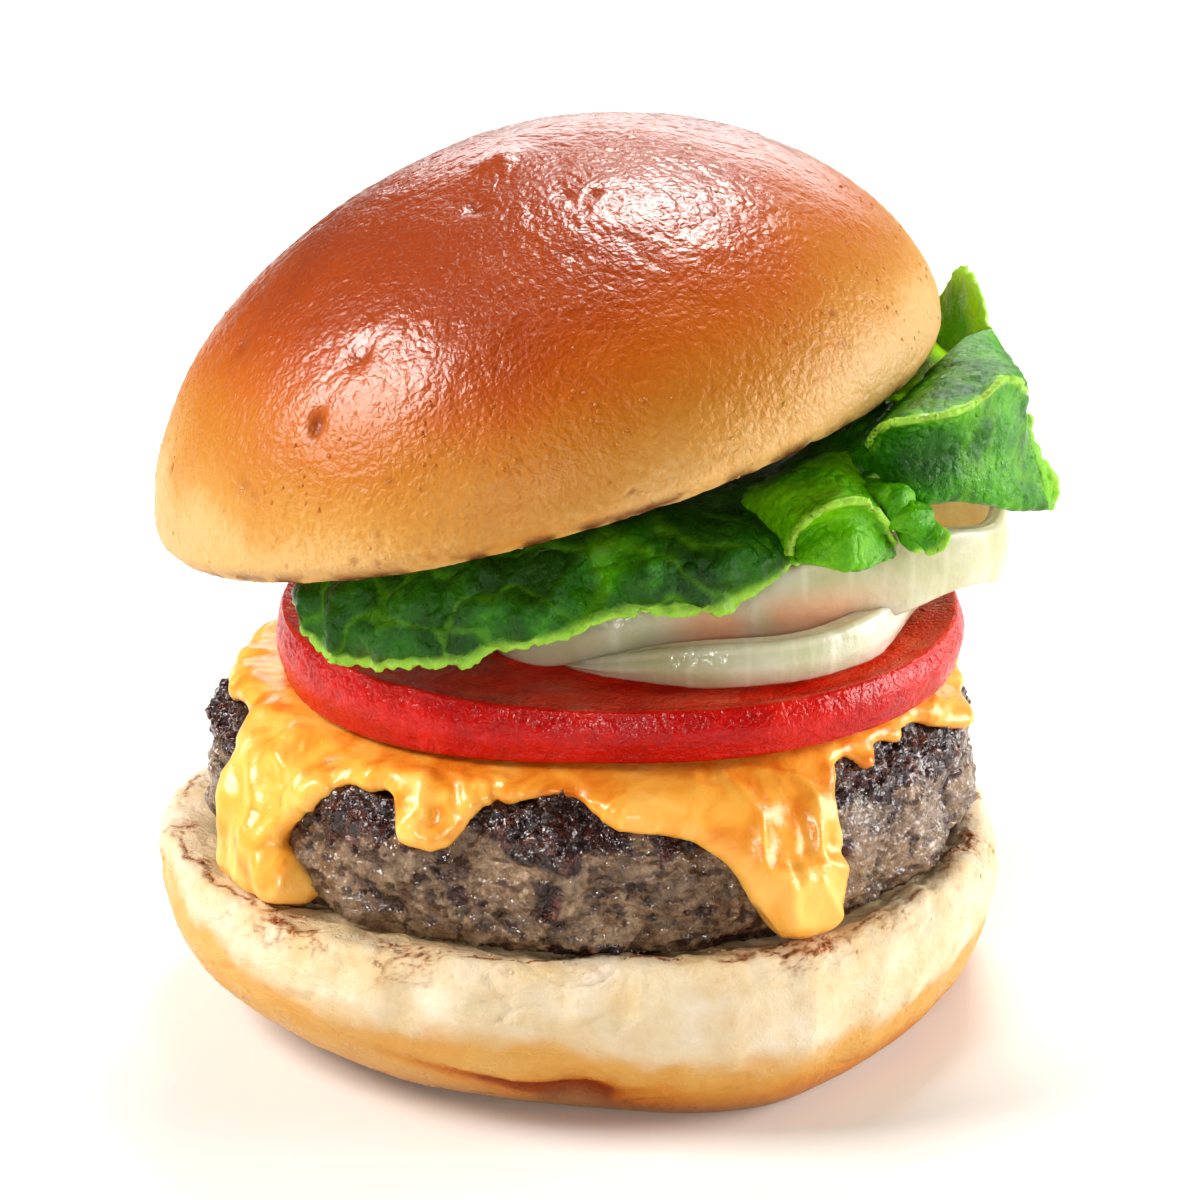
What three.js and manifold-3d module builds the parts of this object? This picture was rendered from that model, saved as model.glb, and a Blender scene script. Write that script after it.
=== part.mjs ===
// Cheeseburger: a split bun with a beef patty, melted cheese, a tomato slice,
// two onion rings and leaves of lettuce, stacked with the bun crown tipped to one side.
//
// Millimetres, +Z up. The origin is the middle of the bun heel's flat foot.
// Bearings are in degrees round the stack, from 0 at the front (-Y) towards +X.

import * as THREE from 'three';
import Module from 'manifold-3d';

const wasm = await Module();
wasm.setup();

const GAP = 0.3;

// The patty, cheese and tomato are pressed down at the side where the crown rests, from one x to another.
const SAG = { depth: 2.0, from: 4, to: -34, fixedHeight: 24 };

// Bun heel. Each row of the outline is [bearing, foot radius, widest radius, rim radius].
const HEEL = {
  columns: 54,
  widestHeight: 14.5,
  rimHeight: 20.4,
  dishHeight: 19.5,
  dishRadius: 43.5,
  rimWidth: 2.2,
  fullness: 1.5,
  footTriangle: 26,
  unevenness: 0.007,
  outline: [
    [-165, 41.0, 50.4, 48.8],
    [-135, 41.0, 50.2, 48.8],
    [-110, 40.4, 51.4, 49.8],
    [-90, 39.6, 53.2, 51.6],
    [-45, 39.4, 52.4, 51.0],
    [-25, 40.0, 51.0, 49.6],
    [-8, 39.8, 49.8, 46.6],
    [2, 41.0, 49.6, 46.4],
    [14, 43.4, 50.4, 48.6],
    [26, 44.4, 51.0, 49.4],
    [38, 42.6, 49.8, 47.8],
    [52, 41.0, 48.6, 46.4],
    [90, 40.4, 48.0, 45.8],
    [130, 41.2, 49.0, 47.2],
    [165, 41.0, 50.0, 48.2],
  ],
};

// Beef patty. Each row of the outline is [bearing, radius].
const PATTY = {
  columns: 56,
  bottom: 19.9,
  top: 40.0,
  cornerBelow: 4.5,
  cornerAbove: 7.8,
  cragDepth: 1.1,
  cragWidth: 11,
  outline: [
    [-150, 45.6],
    [-90, 47.2],
    [-60, 45.6],
    [-38, 46.2],
    [-20, 44.8],
    [0, 45.4],
    [30, 44.6],
    [60, 43.9],
    [90, 44.7],
    [150, 45.2],
  ],
};

// Melted cheese. Each row of the hem is [bearing, height], going round the lower edge of the sheet.
const CHEESE = {
  columns: 96,
  top: 42.0,
  sheet: 2.0,
  dripThickness: 4.4,
  dripHeight: 25,
  edgeRound: 2.6,
  shoulder: 39.4,
  shoulderLift: 0.8,
  rimInset: 5.2,
  girthRadius: 45.5,
  hem: [
    [-178, 36.1],
    [-168, 30.7],
    [-158, 29.9],
    [-150, 36.4],
    [-136, 39.2],
    [-124, 38.6],
    [-116, 38.0],
    [-108, 38.8],
    [-100, 39.2],
    [-92, 39.2],
    [-80, 39.2],
    [-73, 39.0],
    [-67.5, 33.2],
    [-65.5, 26.1],
    [-65, 22.0],
    [-61, 20.8],
    [-53, 20.8],
    [-47, 22.2],
    [-48.5, 25.4],
    [-51.5, 29.1],
    [-49, 33.5],
    [-43, 37.4],
    [-37, 39.1],
    [-33, 38.6],
    [-30, 36.4],
    [-26.5, 34.4],
    [-22.5, 36.2],
    [-18, 38.8],
    [-12, 39.2],
    [-6, 39.1],
    [-2, 37.9],
    [3, 36.6],
    [10, 35.8],
    [16, 33.6],
    [20, 30.4],
    [23, 26.0],
    [26, 22.4],
    [30, 20.8],
    [34, 21.0],
    [36.2, 23.4],
    [36.8, 30.0],
    [37.8, 36.0],
    [41, 38.8],
    [44, 38.8],
    [46.5, 37.0],
    [49, 37.0],
    [51.5, 38.8],
    [54, 38.6],
    [57, 38.0],
    [60, 38.8],
    [66, 38.2],
    [72, 36.0],
    [80, 35.4],
    [88, 37.4],
    [98, 38.2],
    [107, 35.0],
    [114, 30.2],
    [121, 29.8],
    [128, 34.4],
    [138, 37.8],
    [150, 38.2],
    [160, 36.0],
    [170, 37.2],
  ],
};

// Tomato slice, an uneven round slab.
const TOMATO = {
  columns: 48,
  centre: [2.7, 0],
  radius: 40.6,
  bottom: 42.4,
  top: 49.0,
  corner: 1.3,
  bulge: 0.7,
  lobe: 0.6,
  topSag: 0.1,
};

// Broken onion ring that lies flat on the tomato. Each row of the arc is
// [bearing about its centre, outer radius, wall, bottom height, top height].
const LOWER_ONION = {
  centre: [13.6, -10.6],
  steps: 26,
  arc: [
    [-47, 23.9, 0.7, 49.3, 51.2],
    [-38, 23.6, 1.2, 49.3, 52.4],
    [-28, 23.3, 1.9, 49.3, 54.0],
    [-16, 23.0, 2.6, 49.3, 55.4],
    [0, 22.9, 3.2, 49.3, 55.8],
    [25, 22.9, 3.4, 49.3, 55.8],
    [50, 22.9, 3.4, 49.3, 55.6],
    [64, 22.9, 3.4, 49.3, 55.4],
    [72, 22.9, 3.2, 49.4, 55.0],
    [80, 23.1, 2.6, 50.0, 54.2],
  ],
};

// Whole onion ring that leans over the broken one, in the same kind of rows.
const UPPER_ONION = {
  centre: [17, -1],
  columns: 46,
  arc: [
    [-115, 28.5, 3.3, 49.5, 56.6],
    [-88, 30.5, 3.3, 49.5, 56.4],
    [-66, 33.6, 3.3, 49.5, 56.2],
    [-52, 36.2, 3.3, 49.5, 56.2],
    [-43, 33.6, 3.3, 49.5, 56.4],
    [-36, 30.6, 3.3, 49.7, 56.8],
    [-28, 28.6, 3.3, 50.4, 57.6],
    [-16, 26.6, 3.3, 51.6, 59.2],
    [0, 25.8, 3.3, 52.6, 60.4],
    [12, 25.4, 3.3, 53.6, 61.4],
    [20, 25.0, 3.3, 54.8, 62.2],
    [28, 24.9, 3.3, 56.3, 62.8],
    [35, 25.6, 3.3, 56.6, 63.2],
    [45, 26.9, 3.3, 56.6, 63.2],
    [57, 28.6, 3.3, 55.8, 62.6],
    [68, 30.3, 3.3, 54.4, 61.8],
    [77, 31.3, 3.3, 53.2, 61.2],
    [90, 31.4, 3.3, 52.4, 60.8],
    [125, 29.5, 3.3, 51.0, 59.0],
    [160, 26.5, 3.3, 49.8, 57.4],
    [195, 26.0, 3.3, 49.5, 56.8],
  ],
};

// Bun crown, a dome on a flat cut face that tips up towards +X.
const CROWN = {
  columns: 54,
  centre: [-5.6, 0.2, 68.8],
  slope: [0.277, -0.063],
  radius: 48.3,
  widestHeight: 2.6,
  cutInset: 1.7,
  height: 36.3,
  lean: 4.5,
  fullness: [1.93, 1.78],
};

// Lettuce. A leaf runs from its root under the crown, over a shoulder, through a belly to its margin.
// Each fold is [bearing, shoulder radius, belly radius, belly height, margin radius, margin height],
// and shares are the places along that way where both faces have points.
const LEAF_THICKNESS = 1.2;

const FRONT_LEAF = {
  columns: 100,
  rootRadius: 8,
  shares: [0.3, 0.55, 0.7, 0.8, 0.9, 1],
  tuck: { least: 1.8, most: 9.5 },
  rippleDepth: 1.0,
  rippleWidth: 13,
  folds: [
    [-70, 33.5, 36.0, 57.0, 36.0, 54.8],
    [-60, 36.0, 39.2, 58.0, 39.4, 54.8],
    [-54.5, 38.0, 41.6, 57.4, 42.2, 53.6],
    [-49, 38.5, 42.6, 56.4, 42.6, 51.8],
    [-43, 38.5, 42.9, 56.6, 42.6, 51.5],
    [-37, 37.5, 41.6, 57.4, 42.2, 51.9],
    [-31, 38.0, 42.8, 59.0, 42.4, 53.4],
    [-26, 37.0, 41.4, 59.6, 42.2, 54.2],
    [-22, 38.0, 42.8, 60.8, 42.0, 54.2],
    [-16, 37.0, 41.6, 62.6, 42.2, 56.6],
    [-9, 38.0, 42.6, 64.0, 42.2, 58.4],
    [-3, 37.0, 41.4, 66.0, 42.4, 60.4],
    [4, 38.0, 42.8, 67.4, 42.4, 62.0],
    [11, 37.0, 41.6, 67.6, 42.4, 61.4],
    [17, 38.0, 43.0, 68.0, 42.2, 61.0],
    [23, 37.5, 42.0, 69.0, 42.4, 62.8],
    [27, 38.5, 43.4, 69.4, 43.0, 64.6],
    [31, 38.5, 44.0, 68.6, 44.4, 69.6],
    [34, 37.5, 45.2, 66.4, 46.0, 72.8],
    [38, 36.5, 46.6, 65.6, 47.0, 73.2],
    [42, 36.0, 47.2, 65.2, 47.6, 70.4],
    [46, 34.0, 45.4, 64.8, 46.2, 66.0],
    [51, 32.0, 40.0, 64.6, 42.0, 64.4],
    [58, 28.0, 33.0, 66.0, 35.0, 64.6],
    [75, 28.0, 32.0, 66.6, 34.0, 64.8],
    [95, 30.0, 34.0, 65.6, 36.0, 62.6],
    [112, 33.0, 38.0, 66.4, 39.0, 62.0],
    [126, 35.0, 41.4, 64.4, 43.0, 59.2],
    [138, 36.0, 42.0, 62.4, 42.4, 58.6],
    [150, 35.0, 42.4, 60.8, 44.2, 55.4],
    [162, 36.0, 41.8, 61.4, 42.4, 57.8],
    [174, 36.0, 42.6, 59.8, 44.0, 54.4],
    [186, 35.5, 41.4, 60.2, 42.4, 56.6],
    [198, 36.0, 42.4, 58.4, 44.0, 53.4],
    [211, 35.5, 41.0, 58.8, 41.8, 55.4],
    [224, 36.0, 42.2, 56.8, 43.6, 52.2],
    [238, 35.0, 40.0, 57.2, 40.8, 54.0],
    [250, 35.5, 40.8, 55.6, 42.0, 51.8],
    [268, 33.0, 36.0, 56.6, 36.6, 54.4],
  ],
};

const RIGHT_LEAF = {
  columns: 42,
  from: 35,
  to: 112,
  rootRadius: 24,
  rootDrop: 3.4,
  shares: [0, 0.4, 0.62, 0.72, 0.8, 0.88, 0.94, 1],
  folds: [
    [35, 38.0, 42.4, 76.4, 44.2, 76.0],
    [39, 38.0, 44.4, 74.6, 45.6, 78.0],
    [43, 38.5, 46.8, 71.0, 46.0, 80.0],
    [47, 38.5, 48.2, 68.2, 45.4, 80.9],
    [51, 38.5, 48.2, 68.6, 45.2, 80.6],
    [56, 38.5, 48.6, 70.6, 45.8, 79.8],
    [63, 38.5, 50.4, 68.8, 46.7, 79.2],
    [69, 38.5, 52.4, 66.8, 47.6, 80.0],
    [74, 38.5, 53.2, 65.8, 48.6, 80.6],
    [79, 38.5, 52.6, 65.8, 48.8, 77.0],
    [84, 38.5, 51.6, 66.2, 50.2, 71.6],
    [90, 38.5, 49.8, 67.8, 50.6, 66.8],
    [98, 38.5, 46.6, 69.2, 48.4, 64.6],
    [106, 38.5, 45.8, 69.8, 47.6, 65.8],
    [112, 38.5, 44.6, 70.8, 46.0, 67.8],
  ],
};

const TALL_LEAF = {
  columns: 30,
  from: 62,
  to: 132,
  rootRadius: 22,
  rootDrop: 0.9,
  shares: [0, 0.5, 0.7, 0.8, 0.9, 1],
  folds: [
    [62, 38.0, 41.0, 79.0, 42.2, 78.2],
    [72, 38.5, 41.4, 79.4, 42.8, 79.2],
    [80, 38.5, 42.2, 78.4, 43.8, 79.8],
    [88, 38.5, 43.2, 76.8, 45.4, 78.6],
    [95, 38.5, 44.2, 75.6, 47.0, 78.6],
    [100, 38.5, 44.6, 75.2, 46.4, 82.4],
    [104, 38.5, 44.8, 75.0, 45.8, 85.4],
    [109, 38.5, 44.6, 74.8, 45.6, 85.2],
    [114, 38.5, 44.0, 74.6, 45.6, 81.2],
    [120, 38.5, 43.4, 74.2, 45.4, 77.6],
    [132, 38.0, 42.2, 73.4, 44.0, 71.4],
  ],
};

const COLOURS = {
  bun_heel: 0xe9cf9f,
  beef_patty: 0x5b4840,
  melted_cheese: 0xf8ab3c,
  tomato_slice: 0xd42a22,
  onion_ring_lower: 0xe2e3cf,
  onion_ring_upper: 0xdfe2cb,
  lettuce_leaf_front: 0x3c9a20,
  lettuce_leaf_right: 0x4aa828,
  lettuce_leaf_tall: 0x62b52c,
  bun_crown: 0xc9762f,
};

const TURN = 2 * Math.PI;
const radians = (degrees) => degrees * Math.PI / 180;
const mix = (a, b, t) => a + (b - a) * t;

function smooth(from, to, value) {
  const t = Math.min(1, Math.max(0, (value - from) / (to - from)));
  return t * t * (3 - 2 * t);
}

// A point at a bearing and radius round the upright line through centre
function around(bearing, radius, height, centre = [0, 0]) {
  const a = radians(bearing);
  return new THREE.Vector3(
    centre[0] + radius * Math.sin(a),
    centre[1] - radius * Math.cos(a),
    height,
  );
}

// A smooth curve through rows of [key, value, ...], read at any key. A period closes it on itself.
function through(rows, period = 0) {
  const count = rows.length;
  const row = (i) => {
    if (!period) return rows[Math.min(count - 1, Math.max(0, i))];
    const laps = Math.floor(i / count);
    const [key, ...values] = rows[i - laps * count];
    return [key + laps * period, ...values];
  };
  return (at) => {
    let key = at;
    if (period) {
      while (key < rows[0][0]) key += period;
      while (key >= rows[0][0] + period) key -= period;
    }
    let i = 0;
    while (i < count - (period ? 1 : 2) && row(i + 1)[0] <= key) i += 1;
    const [before, from, to, after] = [row(i - 1), row(i), row(i + 1), row(i + 2)];
    const span = to[0] - from[0];
    const t = Math.min(1, Math.max(0, (key - from[0]) / span));
    return from.slice(1).map((value, k) => {
      const step = to[k + 1] - value;
      const inward = (to[k + 1] - before[k + 1]) / Math.max(to[0] - before[0], 1e-6) * span;
      const outward = (after[k + 1] - value) / Math.max(after[0] - from[0], 1e-6) * span;
      return value + t * (inward + t * (3 * step - 2 * inward - outward
        + t * (inward + outward - 2 * step)));
    });
  };
}

// Uneven waves from -1 to 1, with humps about one width apart
function waves(p, width, phase) {
  const k = TURN / width;
  return (Math.sin(k * (0.83 * p.x + 0.41 * p.y + 0.37 * p.z) + phase)
    + Math.sin(k * (-0.36 * p.x + 0.79 * p.y + 0.52 * p.z) + 2.1 * phase + 1.3)
    + Math.sin(k * (0.28 * p.x - 0.47 * p.y + 0.86 * p.z) + 3.7 * phase + 4.1)) / 3;
}

// Lowers a point of the stack where it sags. Points up to the fixed height stay where they are.
function sagged(point, share = 1) {
  const lift = smooth(SAG.fixedHeight, PATTY.top, point.z);
  point.z -= SAG.depth * share * lift * smooth(SAG.from, SAG.to, point.x);
  return point;
}

// A closed solid from its points and triangles, turned so that its faces point out
function solid(name, points, triangles) {
  let volume = 0;
  for (const [a, b, c] of triangles) {
    volume += points[a].dot(new THREE.Vector3().crossVectors(points[b], points[c]));
  }
  const faces = volume > 0 ? triangles : triangles.map(([a, b, c]) => [a, c, b]);
  const geometry = new THREE.BufferGeometry();
  geometry.setAttribute('position', new THREE.Float32BufferAttribute(points.flatMap((p) => p.toArray()), 3));
  geometry.setIndex(faces.flat());
  geometry.computeVertexNormals();
  const material = new THREE.MeshStandardMaterial({ color: COLOURS[name], roughness: 0.5, metalness: 0 });
  const mesh = new THREE.Mesh(geometry, material);
  mesh.name = name;
  return mesh;
}

// Triangles between two loops of points that start at indices a and b
function band(a, b, count, closed = true) {
  const triangles = [];
  for (let i = 0; i < (closed ? count : count - 1); i += 1) {
    const j = (i + 1) % count;
    triangles.push([a + i, a + j, b + j], [a + i, b + j, b + i]);
  }
  return triangles;
}

// Triangles between a loop that starts at index a and a single point
function fan(a, point, count) {
  return Array.from({ length: count }, (_, i) => [a + i, a + (i + 1) % count, point]);
}

// A solid wrapped round an upright line from rings of points, closed at both ends by a point
function wrapped(name, first, rings, last) {
  const columns = rings[0].length;
  const points = [...rings.flat(), first, last];
  const triangles = fan(0, rings.length * columns, columns).map(([a, b, c]) => [b, a, c]);
  for (let i = 0; i + 1 < rings.length; i += 1) {
    triangles.push(...band(i * columns, (i + 1) * columns, columns));
  }
  triangles.push(...fan((rings.length - 1) * columns, rings.length * columns + 1, columns));
  return solid(name, points, triangles);
}

const bearings = (columns) => Array.from({ length: columns }, (_, i) => i * 360 / columns);

// ---- Bun heel ----

const heelOutline = through(HEEL.outline, 360);

// The heel's section from the edge of its foot, round the side and over the rim into the dish
function heelProfile(bearing) {
  const { widestHeight, rimHeight, dishHeight, dishRadius, rimWidth, fullness } = HEEL;
  const [foot, widest, rim] = heelOutline(bearing);
  const side = [-90, -68, -48, -28, -10].map((turn) => [
    foot + (widest - foot) * Math.cos(radians(turn)) ** fullness,
    widestHeight + widestHeight * Math.sin(radians(turn)),
  ]);
  const shoulder = [10, 32, 56, 78].map((turn) => [
    rim + (widest - rim) * Math.cos(radians(turn)),
    widestHeight + (rimHeight - widestHeight) * Math.sin(radians(turn)),
  ]);
  const dish = [[rim - rimWidth, rimHeight - 0.1], [Math.min(rim - 2 * rimWidth, dishRadius), dishHeight]];
  return [...side, ...shoulder, ...dish];
}

// The foot is flat, with one broad triangle in the middle for the stack to stand on.
function makeHeel() {
  const columns = HEEL.columns;
  const sections = bearings(columns).map((bearing) => ({ bearing, profile: heelProfile(bearing) }));
  const rows = sections[0].profile.length;
  const points = [];
  for (let row = 0; row < rows; row += 1) {
    for (const { bearing, profile } of sections) {
      const point = around(bearing, ...profile[row]);
      const share = row > 0 && row < rows - 2 ? HEEL.unevenness : 0;
      points.push(point.multiplyScalar(1 + share * waves(point, 34, 0.7)));
    }
  }
  const triangles = [];
  for (let row = 0; row + 1 < rows; row += 1) {
    triangles.push(...band(row * columns, (row + 1) * columns, columns));
  }
  const middle = points.length;
  points.push(new THREE.Vector3(0, 0, HEEL.dishHeight));
  triangles.push(...fan((rows - 1) * columns, middle, columns));
  const corner = (i) => middle + 1 + Math.round(3 * i / columns) % 3;
  for (let i = 0; i < 3; i += 1) points.push(around(120 * i, HEEL.footTriangle, 0));
  for (let i = 0; i < columns; i += 1) {
    const next = (i + 1) % columns;
    triangles.push([next, i, corner(i)]);
    if (corner(i) !== corner(i + 1)) triangles.push([next, corner(i), corner(i + 1)]);
  }
  triangles.push([middle + 3, middle + 2, middle + 1]);
  return solid('bun_heel', points, triangles);
}

// ---- Beef patty ----

const pattyOutline = through(PATTY.outline, 360);

// Radius of the patty's side at a height, without its crags
function pattySide(bearing, height) {
  const { bottom, top, cornerBelow, cornerAbove } = PATTY;
  const below = Math.min(1, Math.max(0, bottom + cornerBelow - height) / cornerBelow);
  const above = Math.min(1, Math.max(0, height - top + cornerAbove) / cornerAbove);
  const inset = cornerBelow * (1 - Math.sqrt(1 - below ** 2)) + cornerAbove * (1 - Math.sqrt(1 - above ** 2));
  return pattyOutline(bearing)[0] - inset;
}

// How far the patty's crags stand out at a bearing and height
function crag(bearing, height) {
  const { bottom, top, cragDepth, cragWidth } = PATTY;
  const share = smooth(bottom, bottom + 2.5, height) * smooth(top - 0.2, top - 4, height);
  return share * cragDepth * waves(around(bearing, pattySide(bearing, height), height), cragWidth, 1.9);
}

// The patty, pushed out all over by a clearance
function makePatty(clearance) {
  const { bottom, top, cornerBelow, cornerAbove } = PATTY;
  const below = [-90, -60, -30, 0].map((turn) => bottom + cornerBelow * (1 + Math.sin(radians(turn))));
  const above = [0, 22, 45, 68, 90].map((turn) => top - cornerAbove * (1 - Math.sin(radians(turn))));
  const heights = [...below, mix(below[3], above[0], 0.5), ...above];
  const rings = heights.map((height, row) => {
    const lift = row === 0 ? -clearance : row === heights.length - 1 ? clearance : 0;
    return bearings(PATTY.columns).map((bearing) => {
      const reach = pattySide(bearing, height) + crag(bearing, height) + clearance;
      return sagged(around(bearing, reach, height + lift));
    });
  });
  const lowest = new THREE.Vector3(0, 0, bottom - clearance);
  return wrapped('beef_patty', lowest, rings, new THREE.Vector3(0, 0, top + clearance));
}

// ---- Melted cheese ----

// The hem as places on the unrolled side of the patty, [distance round it, height]
const hemLine = CHEESE.hem.map(([bearing, height]) => [radians(bearing) * CHEESE.girthRadius, height]);

// Distance from a place on the patty's side to the hem
function hemDistance(bearing, height) {
  const lap = TURN * CHEESE.girthRadius;
  const across = radians(bearing) * CHEESE.girthRadius;
  let nearest = Infinity;
  for (let i = 0; i < hemLine.length; i += 1) {
    const [x0, z0] = hemLine[i];
    const [nextX, z1] = hemLine[(i + 1) % hemLine.length];
    const x1 = nextX < x0 - lap / 2 ? nextX + lap : nextX;
    for (const x of [across - lap, across, across + lap]) {
      const along = ((x - x0) * (x1 - x0) + (height - z0) * (z1 - z0)) / ((x1 - x0) ** 2 + (z1 - z0) ** 2);
      const t = Math.min(1, Math.max(0, along));
      nearest = Math.min(nearest, Math.hypot(x - mix(x0, x1, t), height - mix(z0, z1, t)));
    }
  }
  return nearest;
}

// How far the cheese stands out from the patty's side, with a rounded edge along the hem
function cheeseThickness(bearing, height) {
  const hang = smooth(CHEESE.top - 4, CHEESE.dripHeight, height);
  const full = mix(CHEESE.sheet, CHEESE.dripThickness, hang);
  const t = Math.min(1, hemDistance(bearing, height) / CHEESE.edgeRound);
  return full * Math.sqrt(1 - (1 - t) ** 2);
}

// Columns of the sheet run from its middle to places spaced evenly along the hem.
function hemPlaces() {
  const lap = TURN * CHEESE.girthRadius;
  const steps = hemLine.map(([x, z], i) => {
    const [nextX, nextZ] = hemLine[(i + 1) % hemLine.length];
    return Math.hypot(nextX < x - lap / 2 ? nextX + lap - x : nextX - x, nextZ - z);
  });
  const length = steps.reduce((sum, step) => sum + step, 0);
  let along = 0;
  const start = CHEESE.hem[0][0];
  const rows = CHEESE.hem.map(([bearing, height], i) => {
    const row = [along, bearing - start - 360 * along / length, height];
    along += steps[i];
    return row;
  });
  const hem = through(rows, length);
  return Array.from({ length: CHEESE.columns }, (_, i) => {
    const share = i / CHEESE.columns;
    const [swing, height] = hem(share * length);
    return { even: start + 360 * share, swing, height };
  });
}

function makeCheese() {
  const { top, shoulder, shoulderLift, rimInset } = CHEESE;
  const places = hemPlaces();
  const rings = [1, 0.96, 0.88, 0.76, 0.6, 0.42, 0.22, 0].map((fraction) => (
    places.map(({ even, swing, height: hem }) => {
      const height = mix(shoulder, hem, fraction);
      const bearing = even + swing * mix(0.5, 1, fraction);
      const base = pattySide(bearing, height) + crag(bearing, height);
      const stand = fraction === 1 ? -2 * GAP : cheeseThickness(bearing, height);
      return sagged(around(bearing, base + stand, height + shoulderLift * (1 - fraction)));
    })));
  for (const [inset, height] of [[rimInset, top - 0.4], [rimInset + 3.3, top]]) {
    rings.push(places.map(({ even, swing }) => {
      const bearing = even + 0.4 * swing;
      return sagged(around(bearing, pattyOutline(bearing)[0] - inset, height));
    }));
  }
  const core = { radius: 33, height: 30 };
  const inside = places.map(({ even, swing, height }) => (
    around(even + swing, core.radius, mix(core.height, height, 0.5))));
  const lump = wrapped(
    'melted_cheese',
    new THREE.Vector3(0, 0, core.height),
    [inside, ...rings],
    new THREE.Vector3(0, 0, top),
  );
  return cut('melted_cheese', lump, makePatty(GAP));
}

// ---- Joining and cutting ----

function toManifold(mesh) {
  return new wasm.Manifold(new wasm.Mesh({
    numProp: 3,
    vertProperties: new Float32Array(mesh.geometry.attributes.position.array),
    triVerts: new Uint32Array(mesh.geometry.index.array),
  }));
}

// What is left of one solid where another is taken away, without loose scraps
function cut(name, mesh, cutter) {
  const pieces = toManifold(mesh).subtract(toManifold(cutter)).decompose();
  const largest = pieces.reduce((best, piece) => (piece.volume() > best.volume() ? piece : best));
  const { vertProperties, triVerts } = largest.getMesh();
  const points = [];
  for (let i = 0; i < vertProperties.length; i += 3) {
    points.push(new THREE.Vector3().fromArray(vertProperties, i));
  }
  const triangles = [];
  for (let i = 0; i < triVerts.length; i += 3) {
    triangles.push(Array.from(triVerts.subarray(i, i + 3)));
  }
  return solid(name, points, triangles);
}

// ---- Tomato slice ----

function makeTomato() {
  const { radius, bottom, top, corner, bulge, lobe, topSag } = TOMATO;
  const middle = (bottom + top) / 2;
  const profile = [
    [radius - corner, bottom],
    [radius - 0.3 * corner, bottom + 0.3 * corner],
    [radius, bottom + corner],
    [radius + bulge, middle],
    [radius, top - corner],
    [radius - 0.3 * corner, top - 0.3 * corner],
    [radius - corner, top],
  ];
  const rings = profile.map(([reach, height]) => bearings(TOMATO.columns).map((bearing) => {
    const lobes = lobe * Math.cos(radians(3 * (bearing + 72))) * reach / radius;
    const share = mix(1, topSag, (height - bottom) / (top - bottom));
    return sagged(around(bearing, reach + lobes, height, TOMATO.centre), share);
  }));
  const [x, y] = TOMATO.centre;
  return wrapped('tomato_slice', new THREE.Vector3(x, y, bottom), rings, new THREE.Vector3(x, y, top));
}

// ---- Onion rings ----

// A rounded wall section at one bearing of a ring, going round from the outer foot
function onionSection(spec, bearing, [outer, wall, bottom, top]) {
  const inner = outer - wall;
  const middle = (bottom + top) / 2;
  const corner = Math.min(0.8, wall / 3);
  return [
    [outer - corner, bottom],
    [outer + 0.1, bottom + corner],
    [outer + 0.4, middle],
    [outer, top - corner],
    [outer - corner, top],
    [inner + corner, top],
    [inner, top - corner],
    [inner + 0.4, middle],
    [inner, bottom + corner],
    [inner + corner, bottom],
  ].map(([radius, height]) => around(bearing, radius, height, spec.centre));
}

function makeUpperOnion() {
  const arc = through(UPPER_ONION.arc, 360);
  const sections = bearings(UPPER_ONION.columns).map((b) => onionSection(UPPER_ONION, b, arc(b)));
  const sides = sections[0].length;
  const triangles = [];
  sections.forEach((_, i) => {
    triangles.push(...band(i * sides, ((i + 1) % sections.length) * sides, sides));
  });
  return solid('onion_ring_upper', sections.flat(), triangles);
}

function makeLowerOnion() {
  const { arc: rows, steps } = LOWER_ONION;
  const arc = through(rows);
  const [first, last] = [rows[0][0], rows[rows.length - 1][0]];
  const sections = Array.from({ length: steps + 1 }, (_, i) => {
    const bearing = mix(first, last, i / steps);
    return onionSection(LOWER_ONION, bearing, arc(bearing));
  });
  const sides = sections[0].length;
  const triangles = [];
  for (let i = 0; i < steps; i += 1) triangles.push(...band(i * sides, (i + 1) * sides, sides));
  for (let i = 1; i + 1 < sides; i += 1) {
    triangles.push([0, i + 1, i]);
    triangles.push([steps * sides, steps * sides + i, steps * sides + i + 1]);
  }
  return solid('onion_ring_lower', sections.flat(), triangles);
}

// ---- Bun crown ----

const crownUp = new THREE.Vector3(-CROWN.slope[0], -CROWN.slope[1], 1).normalize();
const crownSide = new THREE.Vector3(1, 0, CROWN.slope[0]).normalize();
const crownBack = new THREE.Vector3().crossVectors(crownUp, crownSide);

// Height of the crown's cut face over a place on the ground
function cutFace(x, y) {
  const [cx, cy, cz] = CROWN.centre;
  return cz + CROWN.slope[0] * (x - cx) + CROWN.slope[1] * (y - cy);
}

function onCrown(bearing, radius, height) {
  const flat = around(bearing, radius, height);
  return new THREE.Vector3(...CROWN.centre)
    .addScaledVector(crownSide, flat.x)
    .addScaledVector(crownBack, flat.y)
    .addScaledVector(crownUp, flat.z);
}

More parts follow.
